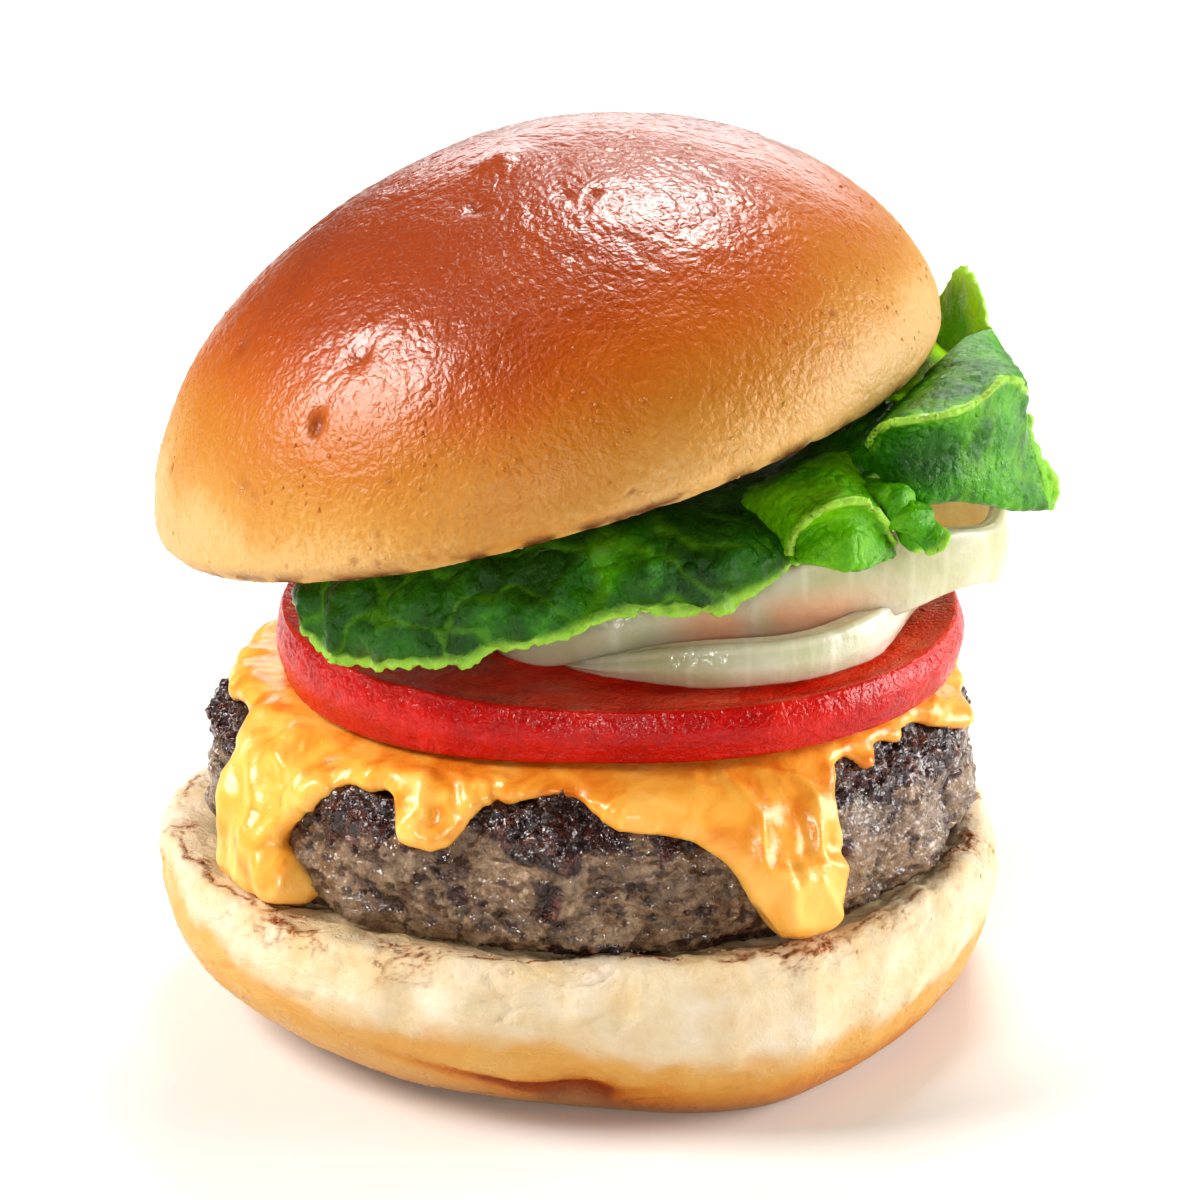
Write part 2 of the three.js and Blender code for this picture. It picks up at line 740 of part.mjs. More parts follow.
function makeCrown() {
  const { radius, widestHeight, cutInset, height, lean, fullness } = CROWN;
  const dome = height - widestHeight;
  const rings = [];
  const ring = (place) => rings.push(bearings(CROWN.columns).map(place));
  for (const t of [0, 0.18, 0.5]) {
    ring((bearing) => onCrown(bearing, radius - cutInset * (1 - t) ** 2, widestHeight * t));
  }
  for (const turn of [0, 12, 24, 36, 48, 60, 70, 80]) {
    const rise = Math.sin(radians(turn));
    ring((bearing) => {
      const power = 2 / mix(...fullness, 0.5 + 0.5 * Math.sin(radians(bearing)));
      const reach = radius * Math.cos(radians(turn)) ** power;
      const point = onCrown(bearing, reach, widestHeight + dome * rise ** power);
      return point.addScaledVector(crownSide, lean * rise);
    });
  }
  const top = onCrown(0, 0, height).addScaledVector(crownSide, lean);
  return wrapped('bun_crown', new THREE.Vector3(...CROWN.centre), rings, top);
}

// ---- Lettuce ----

// The upper face of a leaf as columns of points that run from root to margin
function leafColumn(bearing, [shoulder, belly, bellyHeight, margin, marginHeight], root, ceiling, shares) {
  const curve = new THREE.CatmullRomCurve3([
    ceiling(bearing, root),
    ceiling(bearing, mix(root, shoulder, 0.6)),
    ceiling(bearing, shoulder),
    around(bearing, belly, bellyHeight),
    around(bearing, margin, marginHeight),
  ], false, 'centripetal');
  return shares.map((share) => curve.getPoint(share));
}

// The lower face of a leaf, one thickness below its upper face
function underside(upper, closed) {
  const columns = upper.length;
  const rows = upper[0].length;
  const at = (i, j) => {
    const column = closed ? (i + columns) % columns : Math.min(columns - 1, Math.max(0, i));
    return upper[column][Math.min(rows - 1, Math.max(0, j))];
  };
  return upper.map((column, i) => column.map((point, j) => {
    const along = new THREE.Vector3().subVectors(at(i, j + 1), at(i, j - 1));
    const across = new THREE.Vector3().subVectors(at(i + 1, j), at(i - 1, j));
    return point.clone().addScaledVector(along.cross(across).normalize(), -LEAF_THICKNESS);
  }));
}

// Both faces of a leaf and the narrow edge round it. A closed leaf goes all round, from a hub.
function leafSolid(name, upper, hub = null) {
  const columns = upper.length;
  const rows = upper[0].length;
  const layer = columns * rows;
  const points = [...upper.flat(), ...underside(upper, Boolean(hub)).flat()];
  const triangles = [];
  for (let i = 0; i < (hub ? columns : columns - 1); i += 1) {
    const next = (i + 1) % columns;
    for (let k = 0; k + 1 < rows; k += 1) {
      const [a, b, c, d] = [i * rows + k, next * rows + k, next * rows + k + 1, i * rows + k + 1];
      triangles.push([a, b, c], [a, c, d]);
      triangles.push([layer + a, layer + c, layer + b], [layer + a, layer + d, layer + c]);
    }
  }
  const margin = Array.from({ length: columns }, (_, i) => i * rows + rows - 1);
  let edge = margin;
  if (hub) {
    const below = hub.clone().add(new THREE.Vector3(0, 0, -LEAF_THICKNESS));
    points.push(hub, below);
    for (let i = 0; i < columns; i += 1) {
      const [a, b] = [i * rows, ((i + 1) % columns) * rows];
      triangles.push([2 * layer, b, a], [2 * layer + 1, layer + a, layer + b]);
    }
  } else {
    const firstSide = Array.from({ length: rows - 1 }, (_, k) => k);
    const lastSide = Array.from({ length: rows - 1 }, (_, k) => layer - 2 - k);
    const root = Array.from({ length: columns - 2 }, (_, i) => (columns - 2 - i) * rows);
    edge = [...firstSide, ...margin, ...lastSide, ...root];
  }
  edge.forEach((a, i) => {
    const b = edge[(i + 1) % edge.length];
    triangles.push([a, b, layer + b], [a, layer + b, layer + a]);
  });
  return solid(name, points, triangles);
}

// The leaf that runs through the whole stack lies lower on the side where the crown is tipped up.
function makeFrontLeaf() {
  const { columns, rootRadius, shares, tuck, rippleDepth, rippleWidth } = FRONT_LEAF;
  const folds = through(FRONT_LEAF.folds, 360);
  const ceiling = (bearing, radius) => {
    const { x, y } = around(bearing, radius, 0);
    const drop = tuck.least + tuck.most * smooth(-8, 42, x) * smooth(36, 6, y);
    return around(bearing, radius, cutFace(x, y) - drop);
  };
  const upper = bearings(columns).map((bearing) => {
    const column = leafColumn(bearing, folds(bearing), rootRadius, ceiling, shares);
    return column.map((point, j) => {
      const depth = rippleDepth * smooth(0.5, 0.85, shares[j]);
      return point.addScaledVector(around(bearing, 1, 0), depth * waves(point, rippleWidth, 0.4));
    });
  });
  return leafSolid('lettuce_leaf_front', upper, ceiling(0, 0));
}

// A leaf that covers part of a turn
function makeSideLeaf(name, { columns, from, to, rootRadius, rootDrop, shares, folds: rows }) {
  const folds = through(rows);
  const ceiling = (bearing, radius) => {
    const { x, y } = around(bearing, radius, 0);
    return around(bearing, radius, cutFace(x, y) - rootDrop);
  };
  const upper = Array.from({ length: columns }, (_, i) => {
    const bearing = mix(from, to, i / (columns - 1));
    return leafColumn(bearing, folds(bearing), rootRadius, ceiling, shares);
  });
  return leafSolid(name, upper);
}

// ---- The stack ----

const burger = new THREE.Group();
burger.add(makeHeel());
burger.add(makePatty(0));
burger.add(makeCheese());
burger.add(makeTomato());
burger.add(makeLowerOnion());
burger.add(makeUpperOnion());
burger.add(makeFrontLeaf());
burger.add(makeSideLeaf('lettuce_leaf_right', RIGHT_LEAF));
burger.add(makeSideLeaf('lettuce_leaf_tall', TALL_LEAF));
burger.add(makeCrown());

export default burger;
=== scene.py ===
# The looks of a cheeseburger: toasted bun heel, ground beef patty, melted cheese, tomato slice,
# onion rings, lettuce leaves and a glazed bun crown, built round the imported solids.
#
# Shapes are worked out in millimetres and become metres when a mesh is made. +Z is up.
# Bearings are in degrees round the stack, from 0 at the front (-Y) towards +X.

import math
from functools import partial

import bpy
import numpy as np
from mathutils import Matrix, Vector


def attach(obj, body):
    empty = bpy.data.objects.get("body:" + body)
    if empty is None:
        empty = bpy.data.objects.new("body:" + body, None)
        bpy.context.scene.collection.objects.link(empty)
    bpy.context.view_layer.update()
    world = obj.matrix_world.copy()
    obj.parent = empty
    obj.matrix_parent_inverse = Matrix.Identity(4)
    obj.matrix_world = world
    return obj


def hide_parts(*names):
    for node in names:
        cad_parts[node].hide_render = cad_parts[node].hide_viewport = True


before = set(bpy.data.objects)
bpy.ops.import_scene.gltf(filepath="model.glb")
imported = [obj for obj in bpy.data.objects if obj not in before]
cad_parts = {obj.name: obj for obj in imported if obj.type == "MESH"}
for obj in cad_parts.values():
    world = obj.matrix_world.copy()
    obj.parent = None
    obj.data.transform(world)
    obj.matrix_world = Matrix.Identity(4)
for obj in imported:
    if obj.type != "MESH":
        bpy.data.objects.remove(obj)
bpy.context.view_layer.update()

MM = 0.001


# ---- Numbers and fields ----

def mix(a, b, t):
    return a + (b - a) * t


def smooth(start, end, value):
    """0 before start and 1 past end, with a soft step between. Start may be the greater."""
    t = np.clip((value - start) / (end - start), 0, 1)
    return t * t * (3 - 2 * t)


def hill(centre, width, value):
    """A soft bump of height 1 at centre that is about two widths across."""
    return np.exp(-((value - centre) / width) ** 2)


def turn_gap(a, b):
    """Degrees from bearing b to bearing a, the short way round."""
    return (a - b + 180) % 360 - 180


def around(bearing, radius, height, centre=(0, 0)):
    """Points at bearings and radii round the upright line through centre."""
    a = np.radians(bearing)
    return np.stack(np.broadcast_arrays(
        centre[0] + radius * np.sin(a), centre[1] - radius * np.cos(a), height), -1)


def through(rows, period=0):
    """A smooth curve through rows of [key, value, ...], read at any keys. A period closes it on itself."""
    rows = np.array(rows, float)
    if period:
        lap = np.zeros_like(rows[:2])
        lap[:, 0] = period
        rows = np.concatenate([rows[-2:] - lap, rows, rows[:2] + lap])
    else:
        rows = np.concatenate([rows[:1], rows, rows[-1:]])
    keys = rows[:, 0]

    def read(at):
        at = np.asarray(at, float)
        if period:
            at = (at - keys[1]) % period + keys[1]
        i = np.clip(np.searchsorted(keys, at, side="right") - 1, 1, len(keys) - 3)
        before, start, end, after = rows[i - 1], rows[i], rows[i + 1], rows[i + 2]
        span = end[..., :1] - start[..., :1]
        t = np.clip((at[..., None] - start[..., :1]) / span, 0, 1)
        step = end - start
        inward = (end - before) / np.maximum(end[..., :1] - before[..., :1], 1e-6) * span
        outward = (after - start) / np.maximum(after[..., :1] - start[..., :1], 1e-6) * span
        bend = 3 * step - 2 * inward - outward + t * (inward + outward - 2 * step)
        return np.moveaxis(start + t * (inward + t * bend), -1, 0)[1:]

    return read


def waves(p, width, phase):
    """The slow uneven waves of the solids, from -1 to 1, with humps about one width apart."""
    k = math.tau / width
    x, y, z = p[..., 0], p[..., 1], p[..., 2]
    return (np.sin(k * (0.83 * x + 0.41 * y + 0.37 * z) + phase)
            + np.sin(k * (-0.36 * x + 0.79 * y + 0.52 * z) + 2.1 * phase + 1.3)
            + np.sin(k * (0.28 * x - 0.47 * y + 0.86 * z) + 3.7 * phase + 4.1)) / 3


def scramble(cell, seed):
    """A repeatable random whole number for each whole-numbered cell of space."""
    h = cell[..., 0] * 73856093 ^ cell[..., 1] * 19349663 ^ cell[..., 2] * 83492791 ^ (seed * 2654435)
    h = (h ^ (h >> 13)) * 1274126177 & 0xFFFFFFFF
    return (h ^ (h >> 15)) * 2246822519 & 0xFFFFFFFF


def noise(p, size, seed=0):
    """Smooth random field from about -1 to 1, with humps about one size across."""
    q = np.asarray(p) / size
    cell = np.floor(q).astype(np.int64)
    part = q - cell
    ease = part ** 3 * (part * (part * 6 - 15) + 10)
    total = 0
    for corner in np.ndindex(2, 2, 2):
        h = scramble(cell + corner, seed)
        slope = np.stack([h & 255, h >> 8 & 255, h >> 16 & 255], -1) / 127.5 - 1
        weight = np.prod(np.where(corner, ease, 1 - ease), -1)
        total = total + weight * ((part - corner) * slope).sum(-1)
    return 1.25 * total


def layers(p, size, octaves, seed=0, keep=0.5):
    """Noise with finer noise on top, each octave half the size and keep times the height."""
    return sum(noise(p, size / 2 ** i, seed + i) * keep ** i for i in range(octaves))


def cells(p, size, seed=0):
    """Distances to the nearest and the second nearest of random seeds that lie about one size apart."""
    q = np.asarray(p) / size
    cell = np.floor(q).astype(np.int64)
    first = np.full(q.shape[:-1], 9.0)
    second = first.copy()
    for step in np.ndindex(3, 3, 3):
        near = cell + step - 1
        h = scramble(near, seed)
        seat = near + np.stack([h & 1023, h >> 10 & 1023, h >> 20 & 1023], -1) / 1023
        d = np.sqrt(((q - seat) ** 2).sum(-1))
        second = np.minimum(second, np.maximum(first, d))
        first = np.minimum(first, d)
    return first, second


def ridges(p, size, seed=0, width=0.1):
    """Thin winding lines, 1 along them and 0 away from them, about one size apart."""
    return smooth(width, 0, np.abs(noise(p, size, seed)))


def wander(p, size, reach, seed=0):
    """Points moved about by noise, so that a pattern on them winds."""
    return p + reach * np.stack([noise(p, size, seed + i) for i in range(3)], -1)


# ---- Camera ----

# Millimetres, degrees and pixels
CAMERA = {"distance": 650, "elevation": 20, "lens": 162, "sensor": 36, "target": (0, 0, 48), "frame": 1200}


def seen(spots):
    """Places in millimetres from spots [across, down, y]: pixels of the camera's frame, and how far back."""
    spots = np.asarray(spots, float)
    rise = math.radians(CAMERA["elevation"])
    ahead = np.array([0, math.cos(rise), -math.sin(rise)])
    above = np.array([0, math.sin(rise), math.cos(rise)])
    eye = np.array(CAMERA["target"]) - CAMERA["distance"] * ahead
    focal = CAMERA["frame"] * CAMERA["lens"] / CAMERA["sensor"]
    middle = CAMERA["frame"] / 2
    ray = (ahead + np.array([1.0, 0, 0]) * ((spots[..., :1] - middle) / focal)
           + above * ((middle - spots[..., 1:2]) / focal))
    return eye + ray * ((spots[..., 2:] - eye[1]) / ray[..., 1:2])


# ---- Meshes ----

def grid_normals(points, closed):
    """Unit normals of a grid of points, rows by columns. In a closed grid the columns go all round."""
    if closed:
        across = np.roll(points, -1, 1) - np.roll(points, 1, 1)
    else:
        across = np.gradient(points, axis=1)
    along = np.gradient(points, axis=0)
    n = np.cross(across, along)
    return n / np.maximum(np.linalg.norm(n, axis=-1, keepdims=True), 1e-9)


def make_mesh(name, points, faces, fields=None):
    """A mesh piece from points in millimetres, faces and named fields of one value for each point."""
    mesh = bpy.data.meshes.new(name)
    mesh.from_pydata((np.asarray(points) * MM).tolist(), [], faces)
    mesh.validate()
    for key, values in (fields or {}).items():
        mesh.attributes.new(key, "FLOAT", "POINT").data.foreach_set(
            "value", np.asarray(values, np.float32).ravel())
    mesh.polygons.foreach_set("use_smooth", [True] * len(mesh.polygons))
    piece = bpy.data.objects.new(name, mesh)
    bpy.context.scene.collection.objects.link(piece)
    return piece


def grid_faces(rows, columns, closed, start=0):
    """Quads between the points of a grid that are numbered row by row from start."""
    index = start + np.arange(rows * columns).reshape(rows, columns)
    if closed:
        index = np.concatenate([index, index[:, :1]], 1)
    a, b, c, d = index[:-1, :-1], index[:-1, 1:], index[1:, 1:], index[1:, :-1]
    return np.stack([a, b, c, d], -1).reshape(-1, 4).tolist()


def outward(piece):
    """Turns the faces of a closed piece outwards if they point in."""
    mesh = piece.data
    mesh.calc_loop_triangles()
    co = np.zeros(len(mesh.vertices) * 3)
    mesh.vertices.foreach_get("co", co)
    tri = np.zeros(len(mesh.loop_triangles) * 3, int)
    mesh.loop_triangles.foreach_get("vertices", tri)
    a, b, c = co.reshape(-1, 3)[tri.reshape(-1, 3)].transpose(1, 0, 2)
    if np.einsum("ij,ij->", a, np.cross(b, c)) < 0:
        mesh.flip_normals()
    return piece


def wrapped(name, points, fields):
    """A closed piece from rings of points, from its underside up to its top, with a point at each end."""
    rows, columns = points.shape[:2]
    count = rows * columns
    ends = np.stack([points[0].mean(0), points[-1].mean(0)])
    faces = grid_faces(rows, columns, True)
    for i in range(columns):
        j = (i + 1) % columns
        faces.append([j, i, count])
        faces.append([count - columns + i, count - columns + j, count + 1])
    named = {}
    for key, values in fields.items():
        values = np.broadcast_to(values, (rows, columns))
        named[key] = np.concatenate([values.ravel(), [values[0].mean(), values[-1].mean()]])
    return outward(make_mesh(name, np.concatenate([points.reshape(-1, 3), ends]), faces, named))


def columns_of(count):
    """Bearings that go all round in even steps."""
    return np.arange(count) * 360 / count


def remeshed(piece, voxel):
    """A closed piece on an even skin of quads, as its points in millimetres and its faces."""
    skin = piece.modifiers.new("even_skin", "REMESH")
    skin.mode = "VOXEL"
    skin.voxel_size = voxel * MM
    view = bpy.context.evaluated_depsgraph_get()
    mesh = bpy.data.meshes.new_from_object(piece.evaluated_get(view))
    co = np.zeros(len(mesh.vertices) * 3, np.float32)
    mesh.vertices.foreach_get("co", co)
    corners = np.zeros(len(mesh.loops), np.int32)
    mesh.loops.foreach_get("vertex_index", corners)
    old = piece.data
    bpy.data.objects.remove(piece)
    bpy.data.meshes.remove(old)
    bpy.data.meshes.remove(mesh)
    return co.reshape(-1, 3).astype(float) / MM, corners.reshape(-1, 4)


def relaxed(points, quads, rounds, keep=0.5):
    """Points drawn towards the middle of their neighbours, which takes the steps out of a voxel skin."""
    ends = np.concatenate([quads[:, pair] for pair in ((0, 1), (1, 2), (2, 3), (3, 0))])
    here, there = np.concatenate([ends, ends[:, ::-1]]).T
    count = np.bincount(here, minlength=len(points))[:, None]
    for _ in range(rounds):
        total = [np.bincount(here, points[there, axis], len(points)) for axis in range(3)]
        points = mix(np.stack(total, -1) / count, points, keep)
    return points


def skin_normals(points, quads):
    """Unit normals at the points of a skin of quads."""
    across = np.cross(points[quads[:, 2]] - points[quads[:, 0]], points[quads[:, 3]] - points[quads[:, 1]])
    n = np.zeros_like(points)
    for i in range(4):
        np.add.at(n, quads[:, i], across)
    return n / np.maximum(np.linalg.norm(n, axis=1, keepdims=True), 1e-12)


# ---- Bun heel ----

HEEL = {
    "columns": 640,
    "widest_height": 14.5, "rim_height": 20.4, "dish_height": 19.5, "dish_radius": 43.5,
    "rim_width": 2.2, "fullness": 1.5, "unevenness": 0.007,
    # [bearing, height] of the line where crust turns to crumb
    "crust_line": [
        [-140, 13], [-80, 17], [-65, 16.6], [-50, 14.4], [-35, 12.4], [-14, 12], [4, 10],
        [20, 8], [42, 8.4], [62, 11.5], [80, 14], [120, 13],
    ],
    # [bearing, foot radius, widest radius, rim radius]
    "outline": [
        [-165, 41.0, 50.4, 48.8], [-135, 41.0, 50.2, 48.8], [-110, 40.4, 51.4, 49.8],
        [-90, 37.0, 53.2, 51.6], [-45, 37.2, 52.4, 51.0], [-25, 39.0, 51.0, 49.6],
        [-8, 39.8, 49.8, 46.6], [2, 41.0, 49.6, 46.4], [14, 43.4, 50.4, 48.6],
        [26, 44.4, 51.0, 49.4], [38, 42.6, 49.8, 47.8], [52, 41.0, 48.6, 46.4],
        [90, 40.4, 48.0, 45.8], [130, 41.2, 49.0, 47.2], [165, 41.0, 50.0, 48.2],
    ],
}


def make_heel():
    """The lower half of the bun: squashed cream crumb over a golden crust that turns in to a flat foot."""
    bearing = columns_of(HEEL["columns"])
    foot, widest, rim = through(HEEL["outline"], 360)(bearing)
    middle = HEEL["widest_height"]
    rise = HEEL["rim_height"] - middle
    rings = [(foot * share, 0 * foot) for share in (0.1, 0.4, 0.7, 0.88, 0.95)]
    for turn in np.radians(np.linspace(-90, 0, 58)):
        rings.append((foot + (widest - foot) * math.cos(turn) ** HEEL["fullness"],
                      middle + middle * math.sin(turn) + 0 * foot))
    for turn in np.radians(np.linspace(2, 84, 28)):
        rings.append((rim + (widest - rim) * math.cos(turn), middle + rise * math.sin(turn) + 0 * foot))
    inner = np.minimum(rim - 2 * HEEL["rim_width"], HEEL["dish_radius"])
    for share in np.linspace(0, 1, 20):
        rings.append((mix(rim, inner, share),
                      mix(HEEL["rim_height"], HEEL["dish_height"], smooth(0.2, 1, share)) + 0 * foot))
    for share in (0.96, 0.92, 0.88, 0.84, 0.75, 0.5, 0.25, 0.06):
        rings.append((inner * share, HEEL["dish_height"] + 0 * foot))
    radius = np.stack([r for r, _ in rings])
    height = np.stack([h for _, h in rings])
    p = around(bearing, radius, height)
    outer = smooth(0.3, 2.5, height) * smooth(38, 42, radius)
    p = p * (1 + HEEL["unevenness"] * waves(p, 34, 0.7) * outer)[..., None]

    # The crust meets the crumb on an uneven line round the side
    line = through(HEEL["crust_line"], 360)(bearing)[0][None, :]
    crumb = smooth(-1.6, 2.6, height - line + 1.8 * noise(p, 7, 9) + 1.0 * noise(p, 2.6, 10))
    n = grid_normals(p, True)
    flutes = 1 - 2 * np.abs(noise(wander(p, 9, 2, 30) * [1, 1, 0.35], 9, 12))
    puffs = noise(wander(p, 6, 1.5, 33) * [1, 1, 1.5], 5, 34)
    creases = ridges(wander(p, 12, 3, 51) * [1, 1, 2.4], 12, 18, 0.07) * smooth(-0.1, 0.35, noise(p, 18, 5))
    threads = ridges(wander(p, 5, 1.5, 54) * [0.5, 0.5, 1.6], 5, 55, 0.07)
    threads = threads * smooth(-0.1, 0.3, noise(p, 9, 56))
    # A pinch and a fold low on the front: they dent the side, and the foot field paints shade into them
    pinch = hill(0, 5.0, turn_gap(bearing, -3))[None, :] * hill(3.0, 3.4, height)
    fold = hill(0, 0.9, height - 3.5 - 0.16 * np.abs(turn_gap(bearing, -3))[None, :])
    fold = fold * hill(0, 14, turn_gap(bearing, -12))
    torn = smooth(16.5, 19.5, height) * smooth(36, 43, radius)
    lift = outer * (0.62 * flutes * mix(0.35, 1, crumb) + 0.42 * puffs * crumb + 0.35 * noise(p, 16, 21)
                    - 0.3 * creases - 0.2 * threads + 0.3 * crumb - 1.5 * pinch - 0.5 * fold)
    lift += torn * (0.26 * layers(p, 2.6, 3, 40, 0.65) - 0.35 * smooth(0.3, 0.6, noise(p, 3, 44)))
    lift += outer * 0.09 * layers(p, 1.6, 3, 60, 0.7)
    p = p + n * (lift * smooth(0.05, 1.5, height))[..., None]
    p[..., 2] = np.maximum(p[..., 2], np.where(height < 0.05, 0, 0.02))

    # Toasted threads run round the rim and branch off it
    inward = rim[None, :] - radius
    top = smooth(16.8, 18.6, height)
    course = 0.6 + 1.6 * noise(around(bearing, 50, 0), 8, 66) + 0.8 * noise(p, 2.2, 67)
    thread = smooth(0.42, 0.12, np.abs(inward - course)) * smooth(-0.1, 0.15, noise(p, 6, 68))
    band = hill(0, 2.2, inward - 1.2) * top
    patch = smooth(0.0, 0.3, noise(p, 9, 75) + 0.3 * noise(p, 3, 76))
    branches = np.maximum(ridges(wander(p, 3, 1.2, 70), 3.4, 71, 0.085),
                          ridges(wander(p, 2, 0.6, 83), 1.8, 73, 0.1))
    specks = smooth(0.35, 0.6, noise(p, 0.9, 78)) * smooth(0.0, 0.4, noise(p, 4, 79))
    return wrapped("toasted_bun_heel", p, {
        "crumb": crumb,
        "toast": np.clip(top * thread + band * (1.2 * patch * branches + 0.8 * specks), 0, 1),
        "scorch": np.clip(band * (0.3 + patch), 0, 1),
        "stain": smooth(0.5, 5.0, inward),
        # foot: a deeper crust towards the foot, plus painted shade in the front fold and pinch
        "foot": np.clip(0.7 * smooth(7, 0.3, height) + 0.8 * fold + 0.5 * pinch, 0, 1.2),
    })


# ---- Beef patty ----

PATTY = {
    "columns": 700, "bottom": 19.9, "top": 40.0, "corner_below": 4.5, "corner_above": 7.8,
    "crag_depth": 1.1, "crag_width": 11,
    "outline": [
        [-150, 45.6], [-90, 47.2], [-60, 45.6], [-38, 46.2], [-20, 44.8],
        [0, 45.4], [30, 44.6], [60, 43.9], [90, 44.7], [150, 45.2],
    ],
}
SAG = {"depth": 2.0, "start": 4, "end": -34, "fixed_height": 24}

patty_outline = through(PATTY["outline"], 360)


def sagged(p, share=1.0):
    """Lowers points where the stack is pressed down under the crown."""
    lift = smooth(SAG["fixed_height"], PATTY["top"], p[..., 2])
    p = p.copy()
    p[..., 2] -= SAG["depth"] * share * lift * smooth(SAG["start"], SAG["end"], p[..., 0])
    return p


def patty_side(bearing, height):
    """Radius of the patty's side at a height, without its crags."""
    low, high = PATTY["corner_below"], PATTY["corner_above"]
    below = np.clip((PATTY["bottom"] + low - height) / low, 0, 1)
    above = np.clip((height - PATTY["top"] + high) / high, 0, 1)
    inset = low * (1 - np.sqrt(1 - below ** 2)) + high * (1 - np.sqrt(1 - above ** 2))
    return patty_outline(bearing)[0] - inset


def crag(bearing, height):
    """How far the patty's large crags stand out."""
    share = smooth(PATTY["bottom"], PATTY["bottom"] + 2.5, height)
    share = share * smooth(PATTY["top"] - 0.2, PATTY["top"] - 4, height)
    place = around(bearing, patty_side(bearing, height), height)
    return share * PATTY["crag_depth"] * waves(place, PATTY["crag_width"], 1.9)


def make_patty():
    """Seared ground beef: satin lumps of mince with fine wrinkles and dark pits, crusted along the top."""
    bearing = columns_of(PATTY["columns"])[None, :]
    low, high = PATTY["corner_below"], PATTY["corner_above"]
    heights = np.concatenate([
        PATTY["bottom"] + low * (1 + np.sin(np.radians(np.linspace(-90, 0, 30)))),
        np.linspace(PATTY["bottom"] + low, PATTY["top"] - high, 34)[1:-1],
        PATTY["top"] - high * (1 - np.sin(np.radians(np.linspace(0, 90, 56)))),
    ])[:, None]
    radius = patty_side(bearing, heights) + crag(bearing, heights)
    p = sagged(around(bearing, radius, heights))
    caps = []
    for height, shares in ((PATTY["bottom"], (0.05, 0.4, 0.75, 0.92)),
                           (PATTY["top"], (0.96, 0.9, 0.7, 0.4, 0.05))):
        ring = patty_side(bearing, height)
        caps.append([sagged(around(bearing, ring * share, height + 0 * ring))[0] for share in shares])
    p = np.concatenate([np.stack(caps[0]), p, np.stack(caps[1])])
    n = grid_normals(p, True)
    side = np.zeros(p.shape[:2])
    side[len(caps[0]):-len(caps[1])] = 1
    side *= smooth(PATTY["bottom"] - 0.1, PATTY["bottom"] + 1.2, p[..., 2])
    height = p[..., 2] + SAG["depth"] * smooth(SAG["start"], SAG["end"], p[..., 0])
    char = smooth(33.0, 35.5, height + 6.0 * noise(p, 9, 41) + 2.6 * noise(p, 3, 43))
    char = np.maximum(char, 0.9 * smooth(22.6, 21.0, height + 2.2 * noise(p, 6, 47)))
    char = np.clip(char + 0.6 * smooth(0.25, 0.45, noise(p, 4.0, 45)) * smooth(23, 27, height), 0, 1)
    place = wander(wander(p, 8, 2.2, 3), 3, 0.8, 6) * [1, 1, 1.2]
    lumps = smooth(0, 0.3, np.abs(noise(place, 8.5, 11)))
    near, far = cells(place, 2.6, 12)
    crumbs = smooth(0.0, 0.5, far - near) * (1.15 - near ** 2)
    swirls = ridges(wander(wander(p, 5, 2.6, 16), 2, 0.7, 19), 2.8, 18, 0.2)
    nicks = ridges(wander(p, 3, 1.4, 20), 1.8, 22, 0.08) * smooth(-0.1, 0.3, noise(p, 5, 24))
    pits = smooth(0.3, 0.42, noise(p, 1.3, 23)) * smooth(-0.2, 0.3, noise(p, 7, 25))
    caves = smooth(0.44, 0.62, noise(p, 6.5, 27))
    rough = layers(p, 1.5, 2, 31, 0.8)
    lift = (0.55 * lumps + mix(0.1, 0.42, char) * crumbs + 0.34 * swirls - 0.42 * nicks + 0.22 * rough
            - 0.6 * pits - 0.9 * caves - 0.35)
    p = p + n * (lift * side)[..., None]
    smears = (noise(wander(p, 4, 1.5, 50) * [0.6, 0.6, 1.2], 2.4, 51)
              + 0.5 * noise(p * [0.6, 0.6, 1.2], 1.0, 53))
    return wrapped("seared_beef_patty", p, {
        "char": char,
        "hollow": np.clip(0.35 * (1 - lumps) + 0.45 * char * (1 - crumbs) + 0.9 * nicks + 1.1 * pits
                          + 0.8 * caves, 0, 1),
        "smear": smears + 0 * char,
    })


# ---- Melted cheese ----

CHEESE = {
    "columns": 900, "rows": 64, "foot": 20.2, "hem_steps": 1400, "skin": 0.42,
    "top": 42.0, "sheet": 2.0, "drip_thickness": 4.4, "drip_height": 25, "edge_round": 2.6,
    "shoulder": 39.4, "shoulder_lift": 0.8, "rim_inset": 5.2, "girth_radius": 45.5, "overlap": 0.4,
    # [bearing, height] round the lower edge of the sheet
    "hem": [
        [-178, 36.1], [-168, 30.7], [-158, 29.9], [-150, 36.4], [-136, 39.2], [-124, 38.6],
        [-116, 38.0], [-108, 38.8], [-100, 39.2], [-92, 39.2], [-80, 39.2], [-73, 39.0],
        [-67.5, 33.2], [-65.5, 26.1], [-65, 22.0], [-61, 20.8], [-53, 20.8], [-47, 22.2],
        [-48.5, 25.4], [-51.5, 29.1], [-49, 33.5], [-44, 37.4], [-40, 38.6], [-36, 38.8],
        [-33, 37.8], [-30.8, 35.8], [-27.4, 34.0], [-23.2, 34.0], [-20.6, 35.6], [-18.4, 38.0],
        [-14, 39.1], [-6, 39.1],
        [-2, 37.9], [3, 36.6], [10, 35.8], [16, 33.6], [20, 30.4], [23, 26.0], [26, 22.4],
        [30, 20.8], [34, 21.0], [36.2, 23.4], [36.8, 30.0], [37.8, 36.0], [41, 38.8],
        [44, 38.8], [46.5, 37.0], [49, 37.0], [51.5, 38.8], [54, 38.6], [57, 38.0],
        [60, 38.8], [66, 38.2], [72, 36.0], [80, 35.4], [88, 37.4], [98, 38.2], [107, 35.0],
        [114, 30.2], [121, 29.8], [128, 34.4], [138, 37.8], [150, 38.2], [160, 36.0], [170, 37.2],
    ],
}


